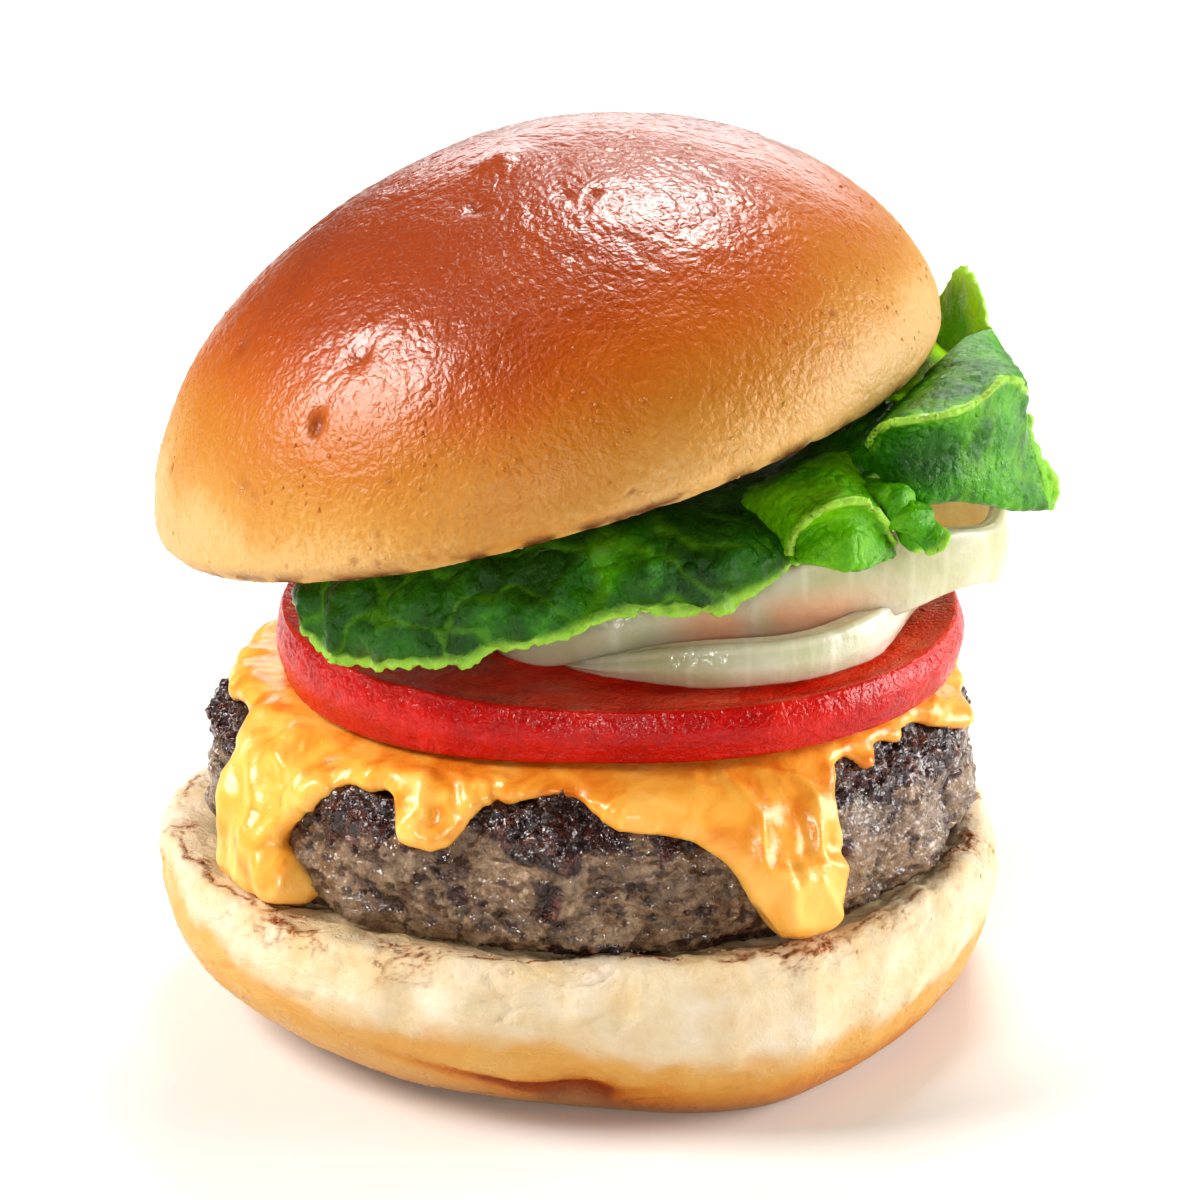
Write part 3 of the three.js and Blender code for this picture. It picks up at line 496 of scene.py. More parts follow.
def hem_curve():
    """The hem as places [distance round the patty, height] on one smooth closed line."""
    rows = np.array(CHEESE["hem"])
    reach = np.radians(rows[:, 0]) * CHEESE["girth_radius"]
    lap = math.tau * CHEESE["girth_radius"]
    steps = np.hypot(np.diff(np.append(reach, reach[0] + lap)), np.diff(np.append(rows[:, 1], rows[0, 1])))
    along = np.concatenate([[0], np.cumsum(steps)])
    drift = reach - lap * along[:-1] / along[-1]
    curve = through(np.stack([along[:-1], drift, rows[:, 1]], 1), along[-1])
    s = np.linspace(0, along[-1], CHEESE["hem_steps"], endpoint=False)
    drift, height = curve(s)
    return drift + lap * s / along[-1], np.minimum(height, CHEESE["shoulder"] - 0.8)


def hem_distance(across, height):
    """Distance to the hem from places on the patty's side, positive inside the cheese."""
    lap = math.tau * CHEESE["girth_radius"]
    x0, z0 = hem_curve()
    x0, z0 = (np.concatenate([a, b, c]) for a, b, c in ((x0 - lap, x0, x0 + lap), (z0, z0, z0)))
    x1, z1 = np.append(x0[1:], x0[-1] + 0.1), np.append(z0[1:], z0[-1])
    order = np.argsort(across.ravel())
    flat_x, flat_z = across.ravel()[order], height.ravel()[order]
    nearest = np.empty_like(flat_x)
    inside = np.empty(flat_x.shape, bool)
    for start in range(0, len(flat_x), 1500):
        x, z = flat_x[start:start + 1500, None], flat_z[start:start + 1500, None]
        keep = (x0 > x.min() - 9) & (x0 < x.max() + 9)
        a, b, c, d = x0[keep], z0[keep], x1[keep], z1[keep]
        t = np.clip(((x - a) * (c - a) + (z - b) * (d - b)) / ((c - a) ** 2 + (d - b) ** 2 + 1e-12), 0, 1)
        nearest[start:start + 1500] = np.hypot(x - mix(a, c, t), z - mix(b, d, t)).min(1)
        crossing = (np.minimum(a, c) <= x) & (x < np.maximum(a, c))
        level = b + (d - b) * (x - a) / np.where(c == a, 1, c - a)
        inside[start:start + 1500] = ((crossing & (level < z)).sum(1) % 2) == 1
    signed = np.where(inside, nearest, -nearest)
    result = np.empty_like(signed)
    result[order] = signed
    return result.reshape(across.shape)


def cheese_sheet():
    """The slice as it lies: two faces on a fine grid, cut along the hem."""
    girth = CHEESE["girth_radius"]
    columns = CHEESE["columns"]
    bearing = columns_of(columns) - 180
    height = np.linspace(CHEESE["foot"], CHEESE["shoulder"], CHEESE["rows"])[:, None]
    across = np.radians(bearing)[None, :] * girth + 0 * height
    level = height + 0 * across
    d = hem_distance(across, level)
    # Points just outside the hem are drawn onto it, so that the edge is a clean line
    slope_x = (np.roll(d, -1, 1) - np.roll(d, 1, 1)) / (2 * math.tau * girth / columns)
    slope_z = np.gradient(d, axis=0) / (height[1, 0] - height[0, 0])
    size = np.maximum(np.hypot(slope_x, slope_z), 0.5)
    kept = d > 0
    beside = np.roll(kept, 1, 0) | kept | np.roll(kept, -1, 0)
    edge = (np.roll(beside, 1, 1) | beside | np.roll(beside, -1, 1)) & ~kept
    across = across - np.where(edge, d * slope_x / size ** 2, 0)
    level = level - np.where(edge, d * slope_z / size ** 2, 0)
    d = np.maximum(d, 0)
    angle = np.degrees(across / girth)
    hang = smooth(CHEESE["top"] - 4, CHEESE["drip_height"], level)
    full = mix(CHEESE["sheet"], CHEESE["drip_thickness"], hang)
    stand = full * np.sqrt(1 - (1 - np.clip(d / CHEESE["edge_round"], 0, 1)) ** 2)
    base = patty_side(angle, level) + crag(angle, level)
    lift = CHEESE["shoulder_lift"] * smooth(30, CHEESE["shoulder"], level)
    outer = [sagged(around(angle, base + stand, level + lift))]
    inner = [sagged(around(angle, base - CHEESE["overlap"], level + lift * 0.4))]
    # The sheet goes on over the shoulder to the middle
    rim = patty_outline(bearing)[0]
    reach = rim - CHEESE["rim_inset"] - 3.3
    shoulder = patty_side(bearing, CHEESE["shoulder"]) + crag(bearing, CHEESE["shoulder"]) + CHEESE["sheet"]
    rise = CHEESE["top"] - CHEESE["shoulder"] - CHEESE["shoulder_lift"]
    over = []
    for share in np.linspace(0.08, 1, 20):
        z = CHEESE["shoulder"] + CHEESE["shoulder_lift"] + rise * math.sin(math.pi / 2 * share ** 0.8)
        over.append((mix(shoulder, reach, share ** 1.2), z, mix(CHEESE["shoulder"], PATTY["top"], share)))
    over += [(reach * share, CHEESE["top"], PATTY["top"]) for share in (0.92, 0.7, 0.4, 0.04)]
    for radius, z, under in over:
        outer.append(sagged(around(bearing, radius, z + 0 * radius))[None])
        inner.append(sagged(around(bearing, np.minimum(radius, rim - 7.8) - 0.5, under + 0 * radius))[None])
    outer, inner = np.concatenate(outer), np.concatenate(inner)
    whole = np.ones((len(over), columns), bool)
    inside = np.concatenate([kept, whole])
    usable = inside | np.concatenate([edge, whole])
    index = np.arange(usable.size).reshape(usable.shape)
    follow = np.roll(index, -1, 1)
    ok = usable & np.roll(usable, -1, 1)
    touched = inside | np.roll(inside, -1, 1)
    ok = ok[:-1] & ok[1:] & (touched[:-1] | touched[1:])
    quads = np.stack([index[:-1][ok], follow[:-1][ok], follow[1:][ok], index[1:][ok]], -1)
    shared = np.concatenate([edge, ~whole]).ravel()
    back = np.where(shared, index.ravel(), index.ravel() + usable.size)
    faces = quads.tolist() + back[quads][:, ::-1].tolist()
    faces += [index[-1].tolist(), (index[-1] + usable.size)[::-1].tolist()]
    used, places = np.unique(np.concatenate([np.array(face) for face in faces]), return_inverse=True)
    starts = np.cumsum([0] + [len(face) for face in faces])
    faces = [places[a:b].tolist() for a, b in zip(starts[:-1], starts[1:])]
    return np.concatenate([outer.reshape(-1, 3), inner.reshape(-1, 3)])[used], faces


def make_cheese():
    """A slice of cheese melted over the patty, with thick round drips and soft winding flow ridges."""
    points, faces = cheese_sheet()
    p, quads = remeshed(outward(make_mesh("cheese_sheet", points, faces)), CHEESE["skin"])
    p = relaxed(p, quads, 4)
    n = skin_normals(p, quads)
    radius = np.hypot(p[:, 0], p[:, 1])
    facing = (n[:, 0] * p[:, 0] + n[:, 1] * p[:, 1]) / radius
    shows = smooth(-0.1, 0.35, np.maximum(facing, n[:, 2])) * smooth(39, 43, radius)
    flow = wander(wander(p, 13, 5, 2), 5, 1.6, 5) * [1, 1, 0.6]
    crest = 1 - 2.4 * np.abs(noise(flow, 7.5, 14))
    fine = 1 - 2.4 * np.abs(noise(flow, 3.4, 17))
    lift = shows * (1.1 * crest + 0.55 * fine * smooth(-0.3, 0.3, noise(p, 9, 8))
                    + 0.5 * noise(p, 12, 19) - 0.3)
    p = relaxed(p + n * lift[:, None], quads, 1)
    return outward(make_mesh("melted_cheese_slice", p, quads.tolist(), {
        "fold": crest + 0.4 * fine,
        # thin: 0 close in under the tomato, 1 further out; the material darkens the cheese close in, partly
        # deeper amber and partly painted shade
        "thin": smooth(43, 47.5, radius),
    }))


# ---- Tomato slice ----

TOMATO = {
    "columns": 560, "centre": (2.7, 0), "radius": 40.6, "bottom": 42.4, "top": 49.0,
    "corner": 1.3, "bulge": 0.7, "lobe": 0.6, "top_sag": 0.1,
}


def make_tomato():
    """A thick slice: skin round the side, a wet cut face above with a bright ridge where the skin ends."""
    bearing = columns_of(TOMATO["columns"])[None, :]
    radius, bottom, top, corner = (TOMATO[key] for key in ("radius", "bottom", "top", "corner"))
    profile = [(radius * share, bottom) for share in (0.05, 0.4, 0.75, 0.9)]
    for turn in np.radians(np.linspace(-90, 0, 8)):
        profile.append((radius - corner * (1 - math.cos(turn)), bottom + corner * (1 + math.sin(turn))))
    for share in np.linspace(0.08, 0.94, 24):
        profile.append((radius + TOMATO["bulge"] * math.sin(math.pi * share),
                        mix(bottom + corner, top - 0.5, share)))
    for turn in np.radians(np.linspace(0, 90, 9)):
        profile.append((radius - 0.5 * (1 - math.cos(turn)), top - 0.5 * (1 - math.sin(turn))))
    for reach in np.linspace(radius - 0.7, radius - 17, 46):
        profile.append((reach, top))
    profile += [(radius * share, top) for share in (0.5, 0.3, 0.05)]
    reach = np.array([r for r, _ in profile])[:, None]
    height = np.array([h for _, h in profile])[:, None]
    lobes = TOMATO["lobe"] * np.cos(np.radians(3 * (bearing + 72))) * reach / radius
    share = mix(1, TOMATO["top_sag"], (height - bottom) / (top - bottom))
    p = around(bearing, reach + lobes, height + 0 * bearing, TOMATO["centre"])
    p = sagged(p, share)
    n = grid_normals(p, True)
    side = smooth(bottom, bottom + 0.8, height) * smooth(top + 0.01, top - 0.6, height)
    flesh = smooth(top - 0.3, top, height) * smooth(radius + 0.3, radius - 1.0, reach)
    dent = layers(p * [1, 1, 0.8], 1.7, 3, 4, 0.6)
    skin = mix(0.05, 0.14, smooth(-10, 40, bearing)) * dent + 0.3 * noise(p, 9, 8)
    juice = layers(p, 6, 3, 15, 0.5)
    drop = flesh * smooth(0, 3.2, radius - reach)
    p = p + n * (side * skin + flesh * (0.22 * juice) - 0.5 * drop)[..., None]
    return wrapped("tomato_slice_cut", p, {
        "flesh": flesh + 0 * bearing,
        # pitted: where the skin is sunk; the material paints shade there
        "pitted": side * (0.5 - dent) + 0 * bearing,
    })


# ---- Onion rings ----

ONION_SKIN = 0.8
LOWER_ONION = {
    "whole": False, "centre": (13.6, -10.6), "steps": 190, "pink_shade_and_tomato_bounce": (46, 48, 0.0),
    # [bearing about its centre, outer radius, wall, bottom height, top height]
    "arc": [
        [-47, 23.9, 0.9, 49.3, 50.4], [-38, 23.6, 1.6, 49.3, 51.4], [-28, 23.3, 2.4, 49.3, 52.6],
        [-16, 23.0, 3.0, 49.3, 53.7], [0, 22.9, 3.2, 49.3, 54.4], [25, 22.9, 3.4, 49.3, 54.5],
        [46, 22.9, 3.4, 49.3, 54.8], [58, 22.9, 3.3, 49.3, 55.0], [66, 22.9, 3.0, 49.9, 55.1],
        [74, 23.1, 2.6, 50.6, 55.0], [82, 23.9, 2.0, 51.4, 54.8], [90, 25.4, 1.3, 52.2, 54.3],
        [96, 27.0, 0.8, 52.8, 53.8],
    ],
}
UPPER_ONION = {
    "whole": True, "centre": (17, -1), "steps": 420, "pink_shade_and_tomato_bounce": (55.5, 60, 1.0),
    "arc": [
        [-115, 28.5, 3.3, 49.5, 56.6], [-88, 30.5, 3.3, 49.5, 56.4], [-66, 33.6, 3.3, 49.5, 56.2],
        [-52, 36.2, 3.3, 49.5, 56.2], [-43, 35.4, 3.3, 49.6, 56.4], [-36, 33.5, 3.3, 50.4, 56.8],
        [-28, 31.6, 3.3, 51.6, 57.6], [-20, 29.4, 3.3, 52.6, 58.8], [-10, 27.4, 3.3, 52.5, 59.8],
        [0, 26.0, 3.3, 52.3, 60.6],
        [12, 25.4, 3.3, 52.0, 61.4], [20, 25.0, 3.3, 52.0, 62.2], [28, 24.9, 3.3, 52.2, 62.8],
        [35, 25.6, 3.3, 52.6, 63.2], [45, 26.9, 3.3, 53.6, 63.2], [57, 28.6, 3.3, 54.6, 62.6],
        [68, 30.3, 3.0, 54.4, 61.4], [77, 31.3, 2.4, 53.2, 61.0], [90, 31.4, 1.8, 52.4, 62.4],
        [108, 30.6, 1.7, 51.6, 64.4], [125, 29.5, 2.0, 51.0, 65.2], [145, 27.8, 2.6, 50.4, 63.6],
        [170, 26.4, 3.3, 49.7, 58.4], [195, 26.0, 3.3, 49.5, 56.8],
    ],
}


def onion_wall(spec, bearing):
    """Sections of a ring's fleshy wall, going round from the outer foot, as places by bearing."""
    along = through(spec["arc"], 360 if spec["whole"] else 0)
    outer, wall, bottom, top = (v[:, None] for v in along(bearing))
    inner = outer - wall
    corner = np.minimum(ONION_SKIN, wall / 3)
    quarter = np.radians(np.linspace(0, 90, 5))
    side, cut, foot = (np.linspace(0, 1, steps)[1:-1] for steps in (16, 7, 5))
    rows = []
    for turn in -quarter[::-1]:
        rows.append((outer - corner * (1 - math.cos(turn)), bottom + corner * (1 + math.sin(turn)), 0))
    for share in side:
        rows.append((outer + 0.4 * math.sin(math.pi * share), mix(bottom + corner, top - corner, share), 0))
    for turn in quarter:
        rows.append((outer - corner * (1 - math.cos(turn)), top - corner * (1 - math.sin(turn)), 0.3))
    for share in cut:
        sunk = 0.12 * math.sin(math.pi * share)
        rows.append((mix(outer - corner, inner + corner, share), top - sunk, 0.5))
    for turn in quarter[::-1]:
        rows.append((inner + corner * (1 - math.cos(turn)), top - corner * (1 - math.sin(turn)), 0.7))
    for share in side[::-1]:
        rows.append((inner + 0.4 * math.sin(math.pi * share), mix(bottom + corner, top - corner, share), 1))
    for turn in -quarter:
        rows.append((inner + corner * (1 - math.cos(turn)), bottom + corner * (1 + math.sin(turn)), 1))
    for share in foot[::-1]:
        rows.append((mix(outer - corner, inner + corner, share), bottom, 0.5))
    radius, height, inside = (np.concatenate([v + 0 * outer for v in column], 1) for column in zip(*rows))
    return around(bearing[:, None], radius, height, spec["centre"]), inside


def make_onion(name, spec, seed):
    """A ring of raw onion: smooth moist layers with faint upright veins."""
    arc, whole = spec["arc"], spec["whole"]
    if whole:
        bearing = columns_of(spec["steps"])
    else:
        bearing = np.linspace(arc[0][0], arc[-1][0], spec["steps"])
    p, inside = onion_wall(spec, bearing)
    veins = noise(np.stack([bearing * 0.45, 0 * bearing, 0 * bearing], -1), 1.5, seed)[:, None]
    swell = 0.35 * noise(p, 8, seed + 1) + 0.06 * veins + 0.05 * layers(p, 2.0, 2, seed + 5)
    p = p - grid_normals(p, True) * swell[..., None] * 0.8
    count, sides = inside.shape
    last = (count - 1) * sides
    faces = grid_faces(count, sides, True)
    if whole:
        faces += [[last + i, last + (i + 1) % sides, (i + 1) % sides, i] for i in range(sides)]
    else:
        faces += [list(range(sides))[::-1], list(range(last, last + sides))]
    low, high, lift = spec["pink_shade_and_tomato_bounce"]
    x, z = p[..., 0], p[..., 2]
    # Painted shade and red reflection from the tomato below, with the onion's own faint pink, low on the
    # ring's front
    pink_shade_and_tomato_bounce = lift * smooth(high, low, z) * smooth(38, 26, x) * smooth(5, 13, x)
    pink_shade_and_tomato_bounce = pink_shade_and_tomato_bounce * smooth(-0.7, 0.1, noise(p, 7, seed + 9))
    return outward(make_mesh(name, p.reshape(-1, 3), faces, {
        "inside": inside, "vein": veins + 0 * inside, "pink_shade_and_tomato_bounce": pink_shade_and_tomato_bounce}))


# ---- Bun crown ----

CROWN = {
    "columns": 620, "centre": (-5.6, 0.2, 68.8), "slope": (0.277, -0.063), "radius": 48.3,
    "widest_height": 2.6, "cut_inset": 1.7, "height": 36.3, "lean": 4.5, "fullness": (1.93, 1.78),
}

crown_up = np.array([-CROWN["slope"][0], -CROWN["slope"][1], 1.0])
crown_up /= np.linalg.norm(crown_up)
crown_side = np.array([1, 0, CROWN["slope"][0]])
crown_side /= np.linalg.norm(crown_side)
crown_back = np.cross(crown_up, crown_side)


def cut_face(x, y):
    """Height of the crown's cut face over a place on the ground."""
    cx, cy, cz = CROWN["centre"]
    return cz + CROWN["slope"][0] * (x - cx) + CROWN["slope"][1] * (y - cy)


def on_crown(bearing, radius, height):
    """Places by bearing and radius on the tipped cut face, and height above it."""
    flat = around(bearing, radius, height)
    return (np.array(CROWN["centre"]) + flat[..., :1] * crown_side
            + flat[..., 1:2] * crown_back + flat[..., 2:] * crown_up)


# Dents and bumps in the crust: [bearing, rise in degrees, width, length upwards, depth]
CRUST_MARKS = [
    [-34, 27, 1.0, 3.4, 1.0], [-29, 38, 1.5, 2.0, 0.5], [-12, 66, 1.2, 2.8, 0.7],
    [-3, 78, 2.4, 2.0, -0.9], [20, 62, 0.9, 0.9, 0.45], [27, 60, 0.8, 0.8, 0.4],
    [-47, 16, 1.1, 0.9, 0.35], [-44, 14, 0.9, 0.8, 0.3], [14, 48, 1.2, 0.9, 0.25],
    [-66, 40, 1.8, 1.6, 0.4], [150, 50, 1.6, 2.6, 0.6], [-140, 35, 1.3, 2.0, 0.5],
    [100, 30, 1.4, 1.8, 0.4], [-100, 60, 1.6, 1.3, 0.4],
]


def make_crown():
    """The upper half of the bun: a thin glazed crust, wrinkled like leather, over a toasted cut face."""
    bearing = columns_of(CROWN["columns"])[None, :]
    radius, widest, inset = CROWN["radius"], CROWN["widest_height"], CROWN["cut_inset"]
    dome = CROWN["height"] - widest
    rings, turns = [], []
    for share in np.concatenate([[0.04], np.linspace(0.12, 1, 26)]):
        rings.append(on_crown(bearing, (radius - inset - 0.4) * share + 0 * bearing, 0 * bearing)[0])
        turns.append(-2)
    for t in np.linspace(0.02, 0.97, 10):
        reach = radius - inset * (1 - t) ** 2
        rings.append(on_crown(bearing, reach + 0 * bearing, widest * t + 0 * bearing)[0])
        turns.append(-0.9 + 0.9 * t)
    power = 2 / mix(*CROWN["fullness"], 0.5 + 0.5 * np.sin(np.radians(bearing)))
    for turn in np.concatenate([np.linspace(0, 80, 114), [81.5, 83, 84.5, 86, 87.5, 89]]):
        rise = math.sin(math.radians(turn))
        reach = radius * math.cos(math.radians(turn)) ** power
        point = on_crown(bearing, reach, widest + dome * rise ** power)
        rings.append((point + CROWN["lean"] * rise * crown_side)[0])
        turns.append(turn)
    p = np.stack(rings)
    turn = np.array(turns, float)[:, None] + 0 * bearing
    n = grid_normals(p, True)
    crust = smooth(-1.2, -0.6, turn)
    marks = np.zeros(p.shape[:2])
    for at, rise, width, length, depth in CRUST_MARKS:
        i = np.argmin(np.abs(turn[:, 0] - rise))
        j = int(round(at % 360 / 360 * p.shape[1])) % p.shape[1]
        offset = p - p[i, j]
        up = offset @ crown_up
        sideways = np.sqrt(np.maximum((offset ** 2).sum(-1) - up ** 2, 0))
        marks += depth * np.exp(-(sideways / width) ** 2 - (up / length) ** 2)
    near, far = cells(wander(p, 2.2, 0.5, 7), 1.3, 12)
    leather = smooth(0.0, 0.5, far - near)
    pores = smooth(0.42, 0.68, noise(p, 1.5, 21)) * smooth(-0.1, 0.5, noise(p, 8, 22))
    wrinkles = ridges(wander(p, 5, 1.5, 27) * [1, 1, 1.3], 3.4, 28, 0.16)
    swell = 0.5 * noise(p, 26, 3) + 0.28 * noise(p, 12, 5) + 0.1 * noise(p, 5, 6)
    lift = crust * (swell - marks + 0.07 * leather - 0.09 * wrinkles
                    + 0.03 * layers(p, 2.4, 2, 15) - 0.22 * pores)
    crumb = (1 - crust) * (0.3 * layers(p, 3.2, 3, 31, 0.6) - 0.5 * smooth(0.3, 0.6, noise(p, 2.5, 35)))
    p = p + n * (lift + crumb)[..., None]
    cut_edge = hill(-0.85, 0.35, turn) * smooth(-0.2, 0.25, noise(p, 6, 81) + 0.5 * noise(p, 2, 82))
    # aside: degrees round from the front; the bake field below is paler away from the front, towards the
    # sides
    aside = np.minimum(np.abs(turn_gap(bearing, -2)), 70)
    return wrapped("glazed_bun_crown", p, {
        "bake": smooth(-10, 46, turn + 6 * noise(p, 14, 91) - 0.22 * aside),
        "crust": crust,
        "dent": np.clip(np.maximum(marks, 0) * 0.8 + 0.6 * pores, 0, 1),
        "scorch": np.clip(cut_edge, 0, 1),
        "glaze": hill(14, 20, turn) * smooth(-0.2, 0.4, noise(p, 9, 61)),
    })


# ---- Lettuce ----

LEAF_THICKNESS = 0.95
FRONT_LEAF = {
    "columns": 760, "root": 8, "tuck": (1.8, 9.5), "ripple_depth": 1.0, "ripple_width": 13, "tone": -0.7,
    # [bearing, shoulder radius, belly radius, belly height, margin radius, margin height]
    "folds": [
        [-70, 33.5, 36.0, 57.0, 36.0, 54.8], [-60, 36.0, 39.2, 58.0, 39.4, 54.8],
        [-54.5, 38.0, 41.6, 57.4, 42.2, 53.6], [-49, 38.5, 42.6, 56.4, 42.6, 51.8],
        [-43, 38.5, 42.9, 56.6, 42.6, 51.5], [-37, 37.5, 41.6, 57.4, 42.2, 51.9],
        [-31, 38.0, 42.8, 59.0, 42.4, 53.4], [-26, 37.0, 41.4, 59.6, 42.2, 54.2],
        [-22, 38.0, 42.8, 60.8, 42.0, 54.2], [-16, 37.0, 41.6, 62.6, 42.2, 56.6],
        [-9, 38.0, 42.6, 64.0, 42.2, 58.4], [-3, 37.0, 41.4, 66.0, 42.4, 60.4],
        [4, 38.0, 42.8, 67.4, 42.4, 62.0], [11, 37.0, 41.6, 67.6, 42.4, 61.4],
        [17, 38.0, 43.0, 68.0, 42.2, 61.0], [23, 37.5, 42.0, 69.0, 42.4, 62.6],
        [28, 37.0, 41.0, 68.6, 41.4, 64.2], [33, 36.0, 39.4, 68.0, 40.0, 65.6],
        [38, 35.0, 38.0, 67.4, 38.8, 66.2], [44, 34.0, 37.4, 67.0, 38.2, 65.8],
        [51, 31.0, 35.0, 66.0, 37.0, 64.8], [58, 28.0, 33.0, 66.0, 35.0, 64.6],
        [75, 28.0, 32.0, 66.6, 34.0, 64.8], [95, 30.0, 34.0, 65.6, 36.0, 62.6],
        [112, 33.0, 38.0, 66.4, 39.0, 62.0], [126, 35.0, 41.4, 64.4, 43.0, 59.2],
        [138, 36.0, 42.0, 62.4, 42.4, 58.6], [150, 35.0, 42.4, 60.8, 44.2, 55.4],
        [162, 36.0, 41.8, 61.4, 42.4, 57.8], [174, 36.0, 42.6, 59.8, 44.0, 54.4],
        [186, 35.5, 41.4, 60.2, 42.4, 56.6], [198, 36.0, 42.4, 58.4, 44.0, 53.4],
        [211, 35.5, 41.0, 58.8, 41.8, 55.4], [224, 36.0, 42.2, 56.8, 43.6, 52.2],
        [238, 35.0, 40.0, 57.2, 40.8, 54.0], [250, 35.5, 40.8, 55.6, 42.0, 51.8],
        [268, 33.0, 36.0, 56.6, 36.6, 54.4],
    ],
}
RIGHT_LEAF = {
    "columns": 200, "from": 76, "to": 112, "root": 24, "drop": 3.4, "tone": 1.4,
    "folds": [
        [76, 38.5, 46.0, 66.8, 47.0, 76.0],
        [84, 38.5, 51.6, 66.2, 50.2, 71.6], [90, 38.5, 49.8, 67.8, 50.6, 66.8],
        [98, 38.5, 46.6, 69.2, 48.4, 64.6], [106, 38.5, 45.8, 69.8, 47.6, 65.8],
        [112, 38.5, 44.6, 70.8, 46.0, 67.8],
    ],
}
TALL_LEAF = {
    "columns": 240, "from": 62, "to": 132, "root": 22, "drop": 0.9, "tone": 2.9,
    "folds": [
        [62, 38.0, 41.0, 79.0, 42.2, 78.2], [72, 38.5, 41.4, 79.4, 42.8, 79.2],
        [80, 38.5, 42.2, 78.4, 43.8, 79.8], [88, 38.5, 43.2, 76.8, 45.4, 78.6],
        [95, 38.5, 44.2, 75.6, 47.0, 78.6], [100, 38.5, 44.6, 75.2, 46.4, 82.4],
        [104, 38.5, 44.8, 75.0, 45.8, 85.4], [109, 38.5, 44.6, 74.8, 45.6, 85.2],
        [114, 38.5, 44.0, 74.6, 45.6, 81.2], [120, 38.5, 43.4, 74.2, 45.4, 77.6],
        [132, 38.0, 42.2, 73.4, 44.0, 71.4],
    ],
}


def centripetal(knots, shares):
    """Points along smooth curves through the knots (knots by columns by 3), at shares of their parameter."""
    knots = np.asarray(knots)
    first = 2 * knots[0] - knots[1]
    last = 2 * knots[-1] - knots[-2]
    padded = np.concatenate([first[None], knots, last[None]])
    out = []
    spans = len(knots) - 1
    for share in shares:
        place = share * spans
        i = min(int(place), spans - 1)
        t = place - i
        p0, p1, p2, p3 = padded[i:i + 4]
        d0, d1, d2 = (np.maximum(np.linalg.norm(b - a, axis=-1, keepdims=True), 1e-4) ** 0.5
                      for a, b in ((p0, p1), (p1, p2), (p2, p3)))
        m1 = ((p1 - p0) / d0 - (p2 - p0) / (d0 + d1) + (p2 - p1) / d1) * d1
        m2 = ((p2 - p1) / d1 - (p3 - p1) / (d1 + d2) + (p3 - p2) / d2) * d1
        out.append(p1 + t * (m1 + t * (3 * (p2 - p1) - 2 * m1 - m2 + t * (m1 + m2 - 2 * (p2 - p1)))))
    return np.stack(out)


def leaf_piece(name, p, closed, margin, blade, seed, blister, tone, frill=1.0):
    """A leaf from its middle face: crumpled between sharp ridges, with a pale ragged margin."""
    rows, columns = p.shape[:2]
    n = grid_normals(p, closed)
    big = 1 - 2 * np.abs(noise(wander(p, 9, 3, seed), 7.0, seed + 1))
    mid = 1 - 2 * np.abs(noise(wander(p, 4, 1.2, seed + 5), 3.2, seed + 6))
    small = 1 - 2 * np.abs(noise(wander(p, 2, 0.5, seed + 12), 1.5, seed + 13))
    lift = blade * (blister * (1.1 * (big - 0.4) + 0.85 * (mid - 0.4))
                    + mix(0.12, 0.34, blister) * small + 0.1 * layers(p, 1.2, 2, seed + 8))
    ragged = noise(p, 3.0, seed + 9) + 0.6 * noise(p, 1.2, seed + 10)
    tooth = 0.7 * noise(p, 1.7, seed + 21) + 0.5 * noise(p, 0.8, seed + 22)
    along = np.gradient(p, axis=0)
    along /= np.maximum(np.linalg.norm(along, axis=-1, keepdims=True), 1e-9)
    shift = n * (lift + 0.55 * frill * margin * ragged)[..., None]
    middle = p + shift + along * (frill * margin ** 2 * tooth)[..., None]
    n = grid_normals(middle, closed)
    thick = LEAF_THICKNESS * mix(1.0, 0.6, margin)
    upper = middle + n * (thick / 2)[..., None]
    lower = middle - n * (thick / 2)[..., None]
    layer = rows * columns
    under = [face[::-1] for face in grid_faces(rows, columns, closed, layer)]
    index = np.arange(layer).reshape(rows, columns)
    if closed:
        rims = [np.append(loop, loop[0]) for loop in (index[-1], index[0][::-1])]
    else:
        edge = np.concatenate([index[0], index[1:, -1], index[-1, -2::-1], index[-2:0:-1, 0]])
        rims = [np.append(edge[::-1], edge[-1])]
    sides = [[int(a), int(b), int(b) + layer, int(a) + layer]
             for rim in rims for a, b in zip(rim[:-1], rim[1:])]
    fields = {
        "vein": blade * smooth(0.75, 0.98, big),
        "margin": np.clip(margin + 0.25 * blade * smooth(0.8, 1.0, mid), 0, 1),
        "hollow": blade * smooth(0.35, -0.5, big + 0.5 * mid) * min(1, 2 * blister),
        "light": tone + 1.3 * noise(p, 10, seed + 30),
    }
    return outward(make_mesh(
        name, np.concatenate([upper.reshape(-1, 3), lower.reshape(-1, 3)]),
        grid_faces(rows, columns, closed) + sides + under,
        {key: np.tile(np.broadcast_to(value, (rows, columns)).ravel(), 2) for key, value in fields.items()}))


def leaf_face(bearing, folds, root, ceiling, share):
    """The middle face of a leaf, from its root under the crown over a shoulder and belly to its margin."""
    shoulder, belly, belly_height, margin, margin_height = folds(bearing)
    return centripetal([
        ceiling(bearing, root + 0 * bearing),
        ceiling(bearing, mix(root, shoulder, 0.6)),
        ceiling(bearing, shoulder),
        around(bearing, belly, belly_height),
        around(bearing, margin, margin_height),
    ], share)


